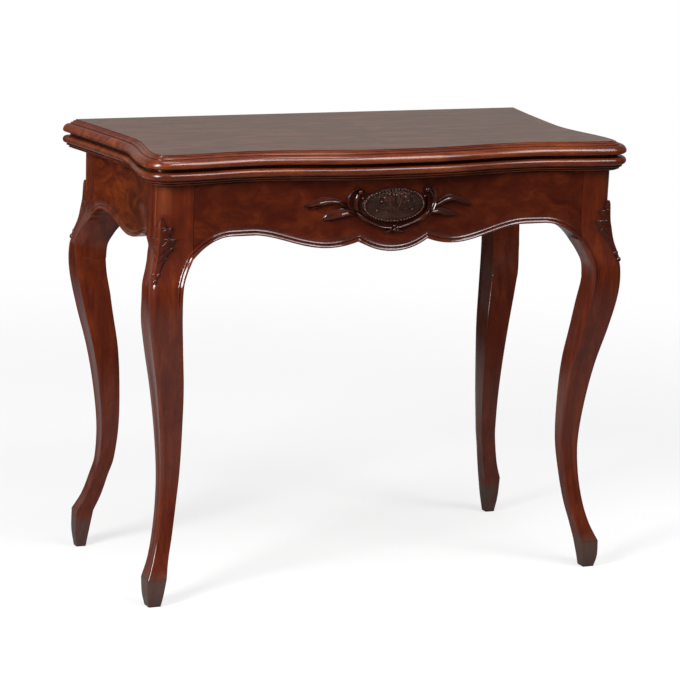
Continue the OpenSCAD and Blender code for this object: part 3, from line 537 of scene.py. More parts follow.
CLOTH_X = FIELD_BACK_X - BORDER_SIDE
CLOTH_Y0 = POST_FRONT + BORDER_FRONT
CLOTH_Y1 = TOP_BACK - BORDER_BACK
FIT = 0.1                     # clearance round the cloth, the hinges and the pivot plate
cloth_bed = box_mesh((-CLOTH_X - FIT, CLOTH_Y0 - FIT, JOINT_Z - 1),
                     (CLOTH_X + FIT, CLOTH_Y1 + FIT, JOINT_Z + 1))
hinge_beds = []
for side in (-1, 1):
    x0, x1 = side * HINGE_X - HINGE_L / 2 - FIT, side * HINGE_X + HINGE_L / 2 + FIT
    hinge_beds.append(box_mesh((x0, TOP_BACK - HINGE_T - 0.05, JOINT_Z - BARREL_R - HINGE_H),
                               (x1, TOP_BACK + 1, JOINT_Z + BARREL_R + HINGE_H)))
    hinge_beds.append(rod_mesh((x0, TOP_BACK, JOINT_Z), (x1, TOP_BACK, JOINT_Z), BARREL_R + 0.35))
plate_bed = box_mesh((PIVOT_X - PLATE_L / 2 - FIT, PIVOT_Y - PLATE_W / 2 - FIT, FRAME_H - 1),
                     (PIVOT_X + PLATE_L / 2 + FIT, PIVOT_Y + PLATE_W / 2 + FIT, FRAME_H + PLATE_T))

upper = leaf("upper_leaf_polished", UPPER_EDGE, TABLE_H, TOP_WOOD, "upper_top")
lower = leaf("lower_leaf_polished", LOWER_EDGE, JOINT_Z, TOP_WOOD, "lower_top")
cut(upper, [cloth_bed] + hinge_beds)
cut(lower, [cloth_bed, plate_bed] + hinge_beds)


FLAT_MM = 0.3                 # a face this close to a flat plane belongs to it


def edge_material(obj, material, z_flat):
    """Gives the moulded edge its own wood: every face that isn't on one of the flat planes."""
    obj.data.materials.append(material)
    for p in obj.data.polygons:
        flat = any(abs(p.center.z - z * MM) < FLAT_MM * MM for z in z_flat)
        if not flat and abs(p.normal.z) < 0.9999:
            p.material_index = 1


edge_material(upper, EDGE_WOOD, (TABLE_H, JOINT_Z))
edge_material(lower, EDGE_WOOD, (JOINT_Z, FRAME_H))

# lower edge of the front apron

CREST_Z = FRAME_H - APRON_H + ARCH_RISE
LOBE_Z = CREST_Z - LOBE_DROP
FLOOR_Z = FRAME_H - 92.5      # underside of the floor board
BRACKET_Z = 580.0             # where the arch has come down to the leg and the square post begins
# places along the half width: the cusp beside the middle lobe, the lowest point of the side lobe, the start
# of the arch's flat crest and its end
CUSP, LOW, CREST, FALL = 0.1766, 0.328, 0.72, 0.805
MIDDLE_RISE, LOBE_RISE = 18.0, 10.3


def apron_edge(x):
    """Height of the scalloped edge at x."""
    f = np.abs(x) / INNER_X
    middle = FRAME_H - APRON_H + MIDDLE_RISE * (f / CUSP) ** 2.1
    lobe = LOBE_Z + LOBE_RISE * (np.maximum(LOW - f, 0) / (LOW - CUSP)) ** 2
    arch = LOBE_Z + LOBE_DROP * rising(f, LOW, CREST)
    bracket = CREST_Z - (CREST_Z - BRACKET_Z) * (np.maximum(f - FALL, 0) / (1 - FALL)) ** 2.05
    return np.where(f < CUSP, middle, np.where(f < LOW, lobe, np.where(f < FALL, arch, bracket)))


# legs

# heights of the stations up a front and a back leg; the third is the sharp upper edge of the foot
LEG_ZS = [[0, f * 0.43, f, f + 29, f + 66, 165, 220, 290, 360, 430, 490, 535, 560, 580, 600, 625, 700]
          for f in (FOOT_H, BACK_FOOT_H)]
# how far the leg's outer corner stands outside the post's at them; the ankle stands inside it
LEG_K = [3.4, 7.4, 7.6, -4.8, -15, -23, -25.4, -19.6, -9, 6.2, 16.6, 17.8, 11.5, 5.4, 1.8, 0, 0]
LEG_K = [v * KNEE_OUT / max(LEG_K) if v > 0 else v * ANKLE_IN / -min(LEG_K) for v in LEG_K]
# width of the leg at them: three for the foot, the others between the ankle's and the knee's
LEG_S = [[FOOT_S * f for f in feet] + [ANKLE_S + (KNEE_S - ANKLE_S) * f
                                       for f in (0.04, 0, 0.03, 0.16, 0.38, 0.64, 0.86, 1, 1.055)]
         for feet in ((0.70, 0.93, 1.09), (0.56, 0.82, 1))]
# the knee's front flares out to the post: heights, and what is added to the knee's width
FLARE_ZS, FLARE = [500, 535, 548, 560, 572, BRACKET_Z], [0, 1.5, 2.4, 4.2, 7.2]
# its side is cut back under the side apron before the post: heights, and what is taken off the width
SWEEP_ZS, SWEEP = [490, 520, 549, 565, 585, 597, 603, 607], [2.5, 8, 11.5, 12.5, 10, 6.5, 1]
SWEEP_START = 460
# its inner side behind the front apron stays fuller: heights and depths
INNER_ZS, INNER_S = [515, 535, 555, 575, 590, 600], [47, 47.5, 50, 54, 57, 58]
BACK_LOWER = 15               # the post of a back leg begins that much lower on its side


def two_part(z, b, values):
    """The feet have a sharp upper edge, so the line has a corner there. b is 1 for a back leg."""
    zs = LEG_ZS[b][:len(values)]
    return np.where(np.asarray(z) < zs[2], curve(z, zs[:3], values[:3]), curve(z, zs[2:], values[2:]))


def leg_out(z, b=0):
    """How far the leg's outer corner stands outside the post's, to the side and to the front."""
    return two_part(z, b, LEG_K)


def leg_round(z):
    """Radius of the outer corner."""
    return curve(z, [0, FOOT_H, 110, 290, 430, 500, 550, 610, 700],
                 [2.5, 3.5, 4, 4.5, 5.5, 8, 13, POST_ROUND, POST_ROUND])


def leg_wide(z, b):
    """Width of the front face."""
    if z >= BRACKET_Z:
        return POST_S + leg_out(z, b)
    if z > FLARE_ZS[1]:
        return curve(z, FLARE_ZS, [KNEE_S + d for d in FLARE] + [POST_S + leg_out(BRACKET_Z, b)])
    return two_part(z, b, LEG_S[b])


def leg_deep(z, b):
    """Width of the side face."""
    h = z + BACK_LOWER * b
    if h >= SWEEP_ZS[-1]:
        return POST_S
    if h > SWEEP_ZS[1]:
        return curve(h, SWEEP_ZS, [KNEE_S - d for d in SWEEP] + [POST_S])
    if h > SWEEP_START:
        q = rising(h, SWEEP_START, SWEEP_ZS[1])
        return two_part(h, b, LEG_S[b]) * (1 - q) + (KNEE_S - SWEEP[1]) * q
    return two_part(z, b, LEG_S[b])


def leg_inner(z, b):
    """Depth of the inner side."""
    if z <= INNER_ZS[0]:
        return leg_deep(z, b)
    return max(leg_deep(z, b), min(POST_S, curve(z, INNER_ZS, INNER_S)))


BEAD_END = 1.15               # where the flat face begins, in widths of the bead


def bead_shape(t):
    """Height of the bead at t widths from the edge: a round, a quirk, a small bead, then the flat face."""
    return curve(t, [0, 0.05, 0.16, 0.36, 0.55, 0.64, 0.72, 0.85, 0.98, 1.08, BEAD_END, 1.3],
                 [0.05, 0.6, 1.0, 0.7, 0.15, -0.16, -0.06, 0.42, 0.2, -0.08, 0, 0])


def edge_line():
    """The front's lower edge at the right leg, from the apron down the leg, as points (x, z)."""
    x = np.linspace(INNER_X - 40, INNER_X, 500)
    z = np.linspace(BRACKET_Z, 440, 900)[1:]
    return np.concatenate([np.stack([x, apron_edge(x)], 1),
                           np.stack([POST_X + leg_out(z) - [float(leg_wide(h, 0)) for h in z], z], 1)])


EDGE_LINE = edge_line()
ARRIS = 0.6                   # flat between an edge of the leg and its bead
BEAD_ZONE = 1.5               # part of the front face that the bead takes at most, in widths of the bead
# fillet and groove beside the rounded corner: (depth, distance from the corner's end), proud below 0
CORNER_LINE, CORNER_LINE_W = [(-0.35, 0.7), (-0.6, 1.3), (-0.35, 1.9), (0.2, 2.4)], 2.8


def leg_section(z, b):
    """Section of the leg as (inward, backward) from its outer corner: along the front face from the inner
    edge, round the corner, along the side face and back over the inner side."""
    s, d, e, r = float(leg_wide(z, b)), float(leg_deep(z, b)), float(leg_inner(z, b)), float(leg_round(z))
    # the beads of both faces die out on the knee, the hollow of the faces at the foot and under the post
    front = BEAD_H * rising(z, 470, 530)
    side = BEAD_H * 0.7 * min(rising(z, 600 - 13 * b, 586 - 13 * b), rising(z, 505, 550))
    hollow = FACE_HOLLOW * min(rising(z, 60, 120), rising(z, 590, 540))
    fine = rising(z, 100, 160)
    w = min(BEAD_W, s * 0.35)
    t = np.linspace(0, BEAD_END, 24)[::-1]
    zone = np.linspace(0, BEAD_ZONE, 34)
    u = np.linspace(0, 1, 14)[1:]
    a = np.radians(np.linspace(0, 90, 15))[1:]
    if 450 < z < 602:
        # the bead follows the curved edge, so its place is the distance from that line
        at_x = POST_X + float(leg_out(z, b)) - (s - ARRIS - w * zone)
        off = np.hypot(at_x[:, None] - EDGE_LINE[:, 0], z - EDGE_LINE[:, 1]).min(axis=1)
        rise = front * bead_shape(np.maximum(off - ARRIS, 0) / w)
    else:
        rise = 0 * zone
    x0 = s - ARRIS - w * BEAD_ZONE
    y0, y1 = r + CORNER_LINE_W, d - ARRIS - w * BEAD_END
    out = [[(s, 1.0)],
           np.stack([s - ARRIS - w * zone, -rise], 1),
           np.stack([x0 + (r - x0) * u, hollow * np.sin(np.pi * u)], 1),
           np.stack([r - r * np.sin(a), r - r * np.cos(a)], 1),
           [(h * fine, r + off) for h, off in CORNER_LINE],
           np.stack([hollow * np.sin(np.pi * u), y0 + (y1 - y0) * u], 1),
           np.stack([-side * bead_shape(t)[1:], d - ARRIS - w * t[1:]], 1),
           [(1.0, d), (s * 0.35, d + (e - d) * 0.3), (s * 0.7, d + (e - d) * 0.7), (s - 1, e), (s, e - 1),
            (s, e * 0.65), (s, e * 0.3)]]
    return np.concatenate([np.asarray(o, float) for o in out])


def leg_rings(b):
    """Sections up the leg, closest together on the knee."""
    f = LEG_ZS[b][2]
    z = np.unique(np.concatenate([np.linspace(0, f, 12), np.linspace(f, 130, 28), np.linspace(130, 480, 60),
                                  np.linspace(480, 640, 110), np.linspace(640, FRAME_H, 14)]))
    rings = []
    for h in z:
        q, o = leg_section(h, b), float(leg_out(h, b))
        rings.append(np.c_[POST_X + o - q[:, 0], POST_FRONT - o + q[:, 1], np.full(len(q), h)])
    return rings


DIAGONAL = 0.7071             # cosine of 45 degrees


def knee_point(z, w, h, b=0):
    """Point on the rounded outer corner: w across it, h outward from the surface."""
    o, r = leg_out(z, b), leg_round(z)
    reach = np.minimum(np.abs(w), r * DIAGONAL)
    fall = r - np.sqrt(r * r - reach ** 2) + np.maximum(np.abs(w) - r * DIAGONAL, 0)
    x = POST_X + o - r * (1 - DIAGONAL) + (w + h - fall) * DIAGONAL
    y = POST_FRONT - o + r * (1 - DIAGONAL) + (w - h + fall) * DIAGONAL
    return np.stack([x, y, z + 0 * w], -1)


# the knee leaf: its half width up the knee, the tips of its lobes and the notches between them as (height,
# half width), and the trefoil of buds under it as (height, place across, radius)
LEAF_Z = [549, 556, 563, 575, 587, 596, 599, 600.5, 606, 611, 613, 614.5, 622, 629, 631, 632.5, 638, 643, 647]
LEAF_W = [4, 5, 6, 8.5, 12.5, 17.5, 19, 15, 18, 20.6, 21, 12.5, 13.5, 15.3, 15.5, 8.2, 6, 3.4, 2.2]
LOBES = ((599.0, 19.0), (613.0, 21.0), (631.0, 15.5))
NOTCHES = ((587.0, 12.5), (600.5, 15.0), (614.5, 12.5), (632.5, 8.2))
BUDS = ((557.5, 3.9, 3.5), (557.5, -3.9, 3.5), (547.0, 0.0, 4.4))
FURROW_SLOPE, FURROW_W = 1.15, 1.5


def knee_leaf(b):
    """Carved leaf on the knee, its lobes pointing up and out from a raised midrib, over a trefoil of buds."""
    z0, z1 = LEAF_Z[0], LEAF_Z[-1]
    z = np.linspace(z0, z1, 170)[:, None]
    q = np.linspace(-1, 1, 69)[None, :]
    w = q * np.interp(z, LEAF_Z, LEAF_W)
    a = np.abs(w)
    tall = LEAF_RELIEF * curve(z, [z0, 570, 600, 635, z1], [0.8, 0.9, 1.0, 0.9, 0.7])
    rim = np.clip((1 - np.abs(q)) / 0.12, 0, 1)
    keel = curve(z, [z0, 570, 600, 640, z1], [1.2, 2.4, 4.8, 5.0, 3.6])
    h = tall * np.sqrt(rim * (2 - rim)) * 0.6 + keel * (1 - np.abs(q)) ** 1.1
    # a furrow runs from each notch of the outline down to the midrib and gets painted shade
    painted_shade = 0
    for nz, nw in NOTCHES:
        furrow = np.exp(-((z - nz - FURROW_SLOPE * (a - nw)) / FURROW_W) ** 2) * np.clip((a - 1.5) / 5, 0, 1)
        h -= 0.5 * tall * furrow
        painted_shade = painted_shade + 0.3 * furrow
    # the midrib is sharper below, and each lobe swells before its tip
    h += tall * 0.22 * np.exp(-(w / 0.9) ** 2) * np.clip((612 - z) / 12, 0, 1)
    for tz, tw in LOBES:
        h += 1.3 * np.exp(-((a - tw + 2.4) / 2.2) ** 2 - ((z - tz + 2.5) / 2.8) ** 2) * rim
    h -= 0.5 * (1 - rim)
    # painted shade: on the leaf's rim, and most on its front half where w is below 0, which faces away from
    # the light
    painted_shade = np.clip(painted_shade + 0.25 * (1 - rim) + np.where(w < 0, 0.5, 0.05) + 0 * z, 0, 0.9).ravel()
    parts = [loft(knee_point(z + 0 * q, w, h, b), caps=False, closed=False)]
    for bz, bw, r in BUDS:
        centre = knee_point(np.array(bz), np.array(bw), np.array(0.3), b)
        parts.append(ball_mesh(centre, (r, r, r * 1.05), 22, 12))
    v, f = join(*parts)
    # the buds get an even painted shade
    return v, f, np.r_[painted_shade, np.full(len(v) - len(painted_shade), 0.3)]


def leg_painted_light(v):
    """Painted shade on the leg's own skin round the leaf, most on the front; below 0 a painted highlight on
    the post's corner and a painted reflection along the fillet beside it."""
    z = v[:, 2]
    w = (v[:, 1] - POST_FRONT - POST_X + v[:, 0]) * DIAGONAL
    off = np.maximum(np.abs(w) - np.interp(z, LEAF_Z, LEAF_W), 0)
    painted_shade = np.where(w < 0, 0.7, 0.3) * np.exp(-off / 4.0) * rising(z, 541, 549) * rising(z, 655, 647)
    # painted highlight where the light falls on the post's rounded corner
    corner = 0.16 * np.exp(-((w + 3) / 12) ** 2) * rising(z, 600, 680)
    # painted reflection: a thin pale line along the fillet beside the corner
    fillet = 0.5 * np.exp(-((w - (leg_round(z) + 1.3) * DIAGONAL) / 0.9) ** 2) * rising(z, 480, 580)
    return painted_shade - corner - fillet


FEET_IN = 2.4                 # how much further in each back leg stands from the ankle down

for b, side in ((0, "front"), (1, "back")):
    skin, (lv, lf, painted_shade) = loft(leg_rings(b)), knee_leaf(b)
    painted_light = np.r_[leg_painted_light(skin[0]), painted_shade]
    v, f = join(skin, (lv, lf))
    if b:
        v, f = mirrored((v, f), y=True)
        v[:, 0] -= BACK_IN + FEET_IN * rising(v[:, 2], 210, 110)
        # the back knees reach no further than the construction's
        v[:, 1] = np.minimum(v[:, 1], TOP_BACK + BACK_REACH - 0.01)
    for name, mx in (("right", False), ("left", True)):
        mv, mf = mirrored((v, f), mx)
        piece("carved_leg_%s_%s" % (side, name), mv, mf, LEG_WOOD, stands_for=("leg_%s_%s" % (side, name),),
              painted_light=painted_light)

# aprons

# as shares of the half width: where the bow ends, and where the hollow begins to run out
BOW_END, HOLLOW_FROM = 0.55, 0.62
BEAD_T = np.linspace(0, BEAD_END, 26)
WEDGE = 20.0                  # how far the apron's foot thickens behind the brackets


def apron_face(x):
    """Front face of the apron: bowed in the middle, hollow beside it."""
    f = np.abs(x) / INNER_X
    return np.where(f < BOW_END, POST_FRONT - APRON_BOW + (APRON_BOW + APRON_HOLLOW) * rising(f, 0, BOW_END),
                    POST_FRONT + APRON_HOLLOW * (1 - rising(f, HOLLOW_FROM, 1)))


def apron_front(x, z):
    """The face with its ends swept forward onto the knees."""
    return apron_face(x) - leg_out(z) * rising(abs(x) / INNER_X, 0.8, 1)


def bead_width(edge, at, widest):
    """Height that the bead takes up where the edge slopes, up to a limit."""
    slope = abs(float(edge(at + 1) - edge(at - 1))) / 2
    return BEAD_W * min(widest, math.hypot(1, slope))


def apron_section(x):
    """Section of the front apron at x: bead, face, top, inner side."""
    z0 = float(apron_edge(x))
    w = bead_width(apron_edge, abs(x), 1.6)
    zf = np.linspace(z0 + w * BEAD_END, FRAME_H, 12)[1:]
    front = [(x, apron_front(x, z) - BEAD_H * b, z) for z, b in zip(z0 + w * BEAD_T, bead_shape(BEAD_T))]
    face = [(x, apron_front(x, z), z) for z in zf]
    wedge = WEDGE * max(0.0, abs(x) / INNER_X - 0.9) / 0.1
    back = [(x, BAY_FRONT, FRAME_H), (x, BAY_FRONT, max(z0 + 2, FLOOR_Z - 0.4)), (x, BAY_FRONT + wedge, z0)]
    return np.array(front + face + back, float)


# a section stands at each cusp, so that it stays sharp
stations = np.unique(np.r_[np.linspace(-INNER_X, INNER_X, 301), -CUSP * INNER_X, CUSP * INNER_X])
v, f = loft([apron_section(x) for x in stations])
front = piece("veneered_front_apron", v, [face[::-1] for face in f], APRON_WOOD,
              stands_for=("front_apron",))
bearer_bed = box_mesh((PIVOT_X - BEARER_W / 2, BAY_FRONT - HOUSING_D, FRAME_H - BEARER_SUNK - BEARER_T),
                      (PIVOT_X + BEARER_W / 2, BAY_FRONT + 5, FRAME_H + 2))
cut(front, [bearer_bed])

# lower edge of a side: the lowest point, the crest before the back leg, and heights at the low point, the
# crest and the front leg
LOW_Y = INNER_FRONT + SIDE_LEN * 0.508
ARCH_Y = INNER_FRONT + SIDE_LEN * 0.885
SIDE_LOW_Z, SIDE_ARCH_Z, SIDE_FRONT_Z = CREST_Z - SIDE_DROP, CREST_Z - 1.7, CREST_Z - 2.7
SIDE_BRACKET = 18.0           # how far it comes down again at the back leg


def side_edge(y):
    """Height of the side apron's lower edge at y."""
    ahead = SIDE_LOW_Z + (SIDE_FRONT_Z - SIDE_LOW_Z) * rising(y, LOW_Y, INNER_FRONT)
    arch = SIDE_LOW_Z + (SIDE_ARCH_Z - SIDE_LOW_Z) * rising(y, LOW_Y, ARCH_Y)
    bracket = SIDE_ARCH_Z - SIDE_BRACKET * (np.maximum(y - ARCH_Y, 0) / (INNER_BACK + 4 - ARCH_Y)) ** 2
    return np.where(y < LOW_Y, ahead, np.where(y < ARCH_Y, arch, bracket))


def side_section(y):
    """Section of the right side apron at y: bead, face, top, inner side."""
    z0 = float(side_edge(y))
    u = (y - INNER_FRONT) / SIDE_LEN
    x = POST_X - SIDE_HOLLOW * math.sin(math.pi * u) - BACK_IN * u
    w = bead_width(side_edge, y, 1.5)
    zf = np.linspace(z0 + w * BEAD_END, FRAME_H, 10)[1:]
    out = [(x + BEAD_H * b, y, z) for z, b in zip(z0 + w * BEAD_T, bead_shape(BEAD_T))]
    out += [(x, y, z) for z in zf]
    return np.array(out + [(BAY_X, y, FRAME_H), (BAY_X, y, z0)], float)


side_part = loft([side_section(y) for y in np.linspace(INNER_FRONT, INNER_BACK, 121)])
side_part = (side_part[0], [face[::-1] for face in side_part[1]])
for name, mx in (("right", False), ("left", True)):
    v, f = mirrored(side_part, mx)
    piece("veneered_side_apron_" + name, v, f, SIDE_WOOD,
          stands_for=("side_apron_" + name,))

# carved ornament on the front apron

# middle of the ornament, and its oval from there: middle and half sizes
CARVE_X, CARVE_Z = -4.0, FRAME_H - 44
OVAL_X, OVAL_Z, OVAL_RX, OVAL_RZ = 0.5, 0.8, 57.0, 28.5
PEARLS, PEARL_R = 56, 1.7

# sections of a stroke as (place across it from -1 to 1, height): leaf, rib and hollowed scroll
LEAF_CUT = [(-1, -0.15), (-0.97, 0.35), (-0.86, 0.82), (-0.68, 1.0), (-0.45, 0.8), (-0.15, 0.5),
            (0.15, 0.42), (0.4, 0.55), (0.6, 0.62), (0.82, 0.45), (0.95, 0.2), (1, -0.15)]
RIB_CUT = [(-1, -0.1), (-0.9, 0.55), (-0.5, 0.92), (0, 1.0), (0.5, 0.92), (0.9, 0.55), (1, -0.1)]
CUP_CUT = [(-1, -0.1), (-0.98, 0.6), (-0.9, 0.72), (-0.78, 0.5), (-0.55, 0.12), (-0.1, 0.0), (0.3, 0.12),
           (0.6, 0.55), (0.8, 0.95), (0.89, 1.0), (0.96, 0.75), (1, -0.1)]


def on_apron(x, z, h):
    """Point at (x, z) from the middle of the ornament, h in front of the apron's face."""
    gx = CARVE_X + x
    return np.stack([gx, apron_face(gx) - h, CARVE_Z + z], -1)


def stroke(points, template, n=60, flip=1):
    """Carved stroke along (x, z, half width, height), with the template across it; flip -1 turns it over."""
    p = dense(points, n)
    t = np.gradient(p[:, :2], axis=0)
    t /= np.linalg.norm(t, axis=1)[:, None]
    side = np.stack([t[:, 1], -t[:, 0]], 1) * flip
    u, h = np.array(template).T
    rows = []
    for k in range(n):
        xz = p[k, :2] + side[k] * (u[:, None] * p[k, 2])
        rows.append(on_apron(xz[:, 0], xz[:, 1], h * p[k, 3]))
    v, f = loft(rows, caps=False, closed=False)
    return v, ([face[::-1] for face in f] if flip < 0 else f)


def disc(cx, cz, profile, rx=1.0, rz=1.0, n=48):
    """Round or oval boss: profile is (radius, height) from the rim inwards."""
    t = np.linspace(0, 2 * np.pi, n, endpoint=False)
    rings = [on_apron(cx + r * rx * np.cos(t), cz + r * rz * np.sin(t), np.full(n, h)) for r, h in profile]
    v, f = loft(rings, caps=False)
    v = np.concatenate([v, [on_apron(np.array(cx), np.array(cz), np.array(profile[-1][1]))]])
    k = len(v) - 1
    f += [(k - n + i, k - n + (i + 1) % n, k) for i in range(n)]
    return v, f


def bead(x, z, r, lift, n=14, m=8):
    """Round berry or pearl with its middle lifted from the face."""
    return ball_mesh(on_apron(np.array(float(x)), np.array(float(z)), np.array(float(lift))), (r, r, r), n, m)


# paths on the apron, as (x, z, half width, height) from the middle of the ornament, -1 for the left half
SCROLLS = (
    (-1, [(-3, -37, 1.7, 5.2), (-19, -35.4, 2.0, 5.8), (-31, -31.4, 2.4, 6.2), (-46, -24.8, 3.2, 6.6),
          (-59, -17, 4.2, 7.2), (-68.5, -8, 5.8, 7.8), (-73.5, 3, 8.6, 8), (-73, 14, 9.4, 8),
          (-68, 22, 7.4, 8), (-61.5, 26.2, 4.4, 7.8), (-56.6, 24.2, 2.8, 7.6), (-57.4, 20.4, 1.6, 7.4)]),
    (1, [(5, -37.5, 1.7, 5.2), (16, -35.2, 2.0, 5.8), (32, -30.4, 2.4, 6.2), (48, -24.6, 3.2, 6.6),
         (59.5, -17.6, 4.2, 7.2), (67.5, -8.6, 5.8, 7.8), (70.6, 2, 7.8, 8), (70, 13, 8.2, 8),
         (66.6, 21.6, 6.8, 8), (61.6, 26, 4.4, 7.8), (57.2, 24.4, 2.8, 7.6), (58, 20.6, 1.6, 7.4)]))
LEAVES = (
    (-1, [(-72, -9, 2.0, 5), (-79, -3.5, 2.6, 6.2), (-87, 3, 3.0, 6.6), (-97, 7.8, 3.8, 6.6),
          (-109, 9.8, 5.2, 6.4), (-122, 9.4, 6.4, 6.2), (-134, 7.4, 6.2, 5.8), (-144, 4.4, 4.2, 4.6),
          (-155, 1, 0.6, 2.4)]),
    (-1, [(-128, 3, 2.0, 4.6), (-138, 0.6, 3.0, 4.8), (-147, -3.6, 0.5, 2.4)]),
    (-1, [(-60, -19, 2.4, 5), (-68, -13.5, 3.4, 6), (-78, -9.8, 5.4, 6.4), (-91, -9.8, 8.2, 6.4),
          (-104, -13, 8.4, 6), (-114, -17, 5.8, 5), (-123, -21, 0.8, 2.4)]),
    (1, [(68, -10, 2.4, 5), (76, -5.6, 3.2, 6.2), (88, 1.6, 4.2, 6.6), (102, 7.4, 5.2, 6.6),
         (117, 7.2, 5.6, 6.4), (131, 2.2, 4.8, 5.6), (141, -2.4, 3.0, 4.4), (150, -6, 0.6, 2.4)]),
    (1, [(62, -17, 2.6, 5), (72, -13, 4.4, 6), (85, -11.4, 6.2, 6.4), (98, -15, 6.0, 6),
         (110, -18.6, 4.8, 5), (122, -19.6, 0.8, 2.4)]))
# right half of the spray inside the oval, from the oval's middle; the left half mirrors it
SPRIGS = (
    [(3, -14, 1.0, 5.0), (8, -6, 3.2, 6.0), (12, 2, 4.6, 6.8), (13, 10, 3.0, 6.8), (10, 17, 0.8, 6.0)],
    [(14, -2, 1.0, 5.4), (21, 4, 3.6, 6.2), (26, 10, 2.6, 6.2), (28, 16, 0.6, 5.4)],
    [(9, -8, 1.0, 5.2), (20, -9, 4.0, 6.0), (32, -6, 0.6, 5.2)],
    [(2, 0, 1.0, 5.4), (3, 8, 2.8, 6.4), (2, 16, 0.6, 5.6)])
# berries as (x, z, radius): between the sprigs, and the bud under the scrolls
SPRAY_BERRIES = ((11, 18.5, 2.5), (19, 13, 2.5), (24, 6.5, 2.0), (3, 17, 2.0), (29, 14, 1.8), (32, -8, 1.8))
BUD_BERRIES = ((1.5, -34.5, 2.7), (7.6, -37, 2.7), (-4.6, -37.6, 2.7), (1.6, -40.4, 3.0), (6.4, -42.4, 2.2))


def oval_ground():
    """The sunk, punched ground of the oval inside its raised rim."""
    dome = [(0.91 - 0.91 * u, 3.9 + 1.3 * (1 - (1 - u) ** 2)) for u in np.linspace(0, 1, 12)[:-1]]
    rim = [(1.0, -0.3), (0.998, 3.2), (0.985, 4.4), (0.965, 4.8), (0.94, 4.6), (0.92, 3.8)]
    return disc(OVAL_X, OVAL_Z, rim + dome, OVAL_RX, OVAL_RZ, 96)


def carving():
    """The oval's pearled rim and spray, in two hollow scrolls that grow from a bud and throw off leaves."""
    # a thin dark sheet of the carving's wood under the oval: painted shade on the ground seen between it and
    # the scrolls
    parts = [disc(OVAL_X, OVAL_Z - 3.6, [(1.0, -0.3), (0.99, 0.35), (0.6, 0.35)], 66, 32, 96)]
    for k in range(PEARLS):
        a = 2 * np.pi * k / PEARLS
        x, z = OVAL_X + OVAL_RX * 0.94 * math.cos(a), OVAL_Z + OVAL_RZ * 0.91 * math.sin(a)
        parts.append(bead(x, z, PEARL_R, 4.9, 10, 6))
    for m in (-1, 1):
        for path in SPRIGS:
            line = [(OVAL_X + m * x, OVAL_Z + z, w, h + 0.4) for x, z, w, h in path]
            parts.append(stroke(line, LEAF_CUT, 24, m))
        for x, z, r in SPRAY_BERRIES:
            parts.append(bead(OVAL_X + m * x, OVAL_Z + z, r, 5.0))
    for m, path in SCROLLS:
        parts.append(stroke(path, CUP_CUT, 120, m))
        # a rib rides on the scroll's stem and dies out where it opens; a large and a small berry are its eye
        rib = [(x, z, w, h + 0.5) for x, z, w, h in path[:5]] + [(*path[5][:2], 0.6, 6.4)]
        parts.append(stroke(rib, RIB_CUT, 70, m))
        parts.append(bead(m * 60.6, 24.0, 4.3, 4.8, 20, 12))
        parts.append(bead(m * 56.5, 13.5, 2.4, 4.6))
    for m, path in LEAVES:
        parts.append(stroke(path, LEAF_CUT, 64, -m))
    # two short tendrils and the berries of the bud
    for m in (-1, 1):
        tendril = [(2 + m * 4, -39, 1.8, 4), (2 + m * 11, -43, 2.6, 4.4), (2 + m * 19, -45, 0.5, 2)]
        parts.append(stroke(tendril, RIB_CUT, 20, m))
    for x, z, r in BUD_BERRIES:
        parts.append(bead(x, z, r, 3.8, 18, 10))
    return join(*parts)


ground = oval_ground()
v, f = join(ground, carving())
# the points carry painted light: inside the oval the tops of the pearls and of the sprigs get a painted
# highlight and the ground between them painted shade, and outside it the parts within 1 mm of the apron's
# face get a little painted shade
tall = apron_face(v[:, 0]) - v[:, 1]
reach = np.hypot((v[:, 0] - CARVE_X - OVAL_X) / OVAL_RX, (v[:, 2] - CARVE_Z - OVAL_Z) / OVAL_RZ)
painted_light = np.where(reach < 1.01, 0.2 - 0.4 * np.clip((tall - 5.3) / 0.9, 0, 1), np.where(tall < 1, 0.1, 0))
carved = piece("carved_ornament", v, f, CARVED_WOOD, stands_for=("apron_carving",), sharp=50, painted_light=painted_light)
carved.data.materials.append(GROUND_WOOD)
for p in carved.data.polygons[:len(ground[1])]:
    p.material_index = 1

# finishes of the nodes that stay as they are

FINISH = {
    "back_rail": BACK_WOOD,
    "corner_blocks": PLAIN_WOOD, "floor_board": PLAIN_WOOD, "floor_cleats": PLAIN_WOOD,
    "well_divider": PLAIN_WOOD, "pivot_bearer": PLAIN_WOOD, "stop_block": PLAIN_WOOD,
    "lower_cloth": BAIZE, "upper_cloth": BAIZE,
}
for name, obj in nodes.items():
    if name in FINISH:
        material = FINISH[name]
    elif name.startswith("hinge"):
        material = BRASS
    elif "screw" in name or name.startswith("pivot"):
        material = STEEL
    else:
        material = LEG_WOOD
    if not obj.data.materials:
        obj.data.materials.append(material)
    for i in range(len(obj.data.materials)):
        obj.data.materials[i] = material

# floor, light and camera

# matt white paper sheet: it takes a faint shadow and fades out with the distance, given in metres
floor_mat, tree, bsdf = new_material("pale_floor", Roughness=0.9)
bsdf.inputs["Base Color"].default_value = rgb("#f2f2f2")
place = add(tree, "TexCoord").outputs["Object"]
path = add(tree, "LightPath").outputs
far = add(tree, "VectorMath", {0: place}, operation="LENGTH").outputs["Value"]
fade = add(tree, "MapRange", {"Value": far, "From Min": 0.9, "From Max": 2.6},
           interpolation_type="SMOOTHSTEP").outputs["Result"]
gone = add(tree, "Math", {0: fade, 1: path["Is Camera Ray"]}, operation="MULTIPLY").outputs[0]
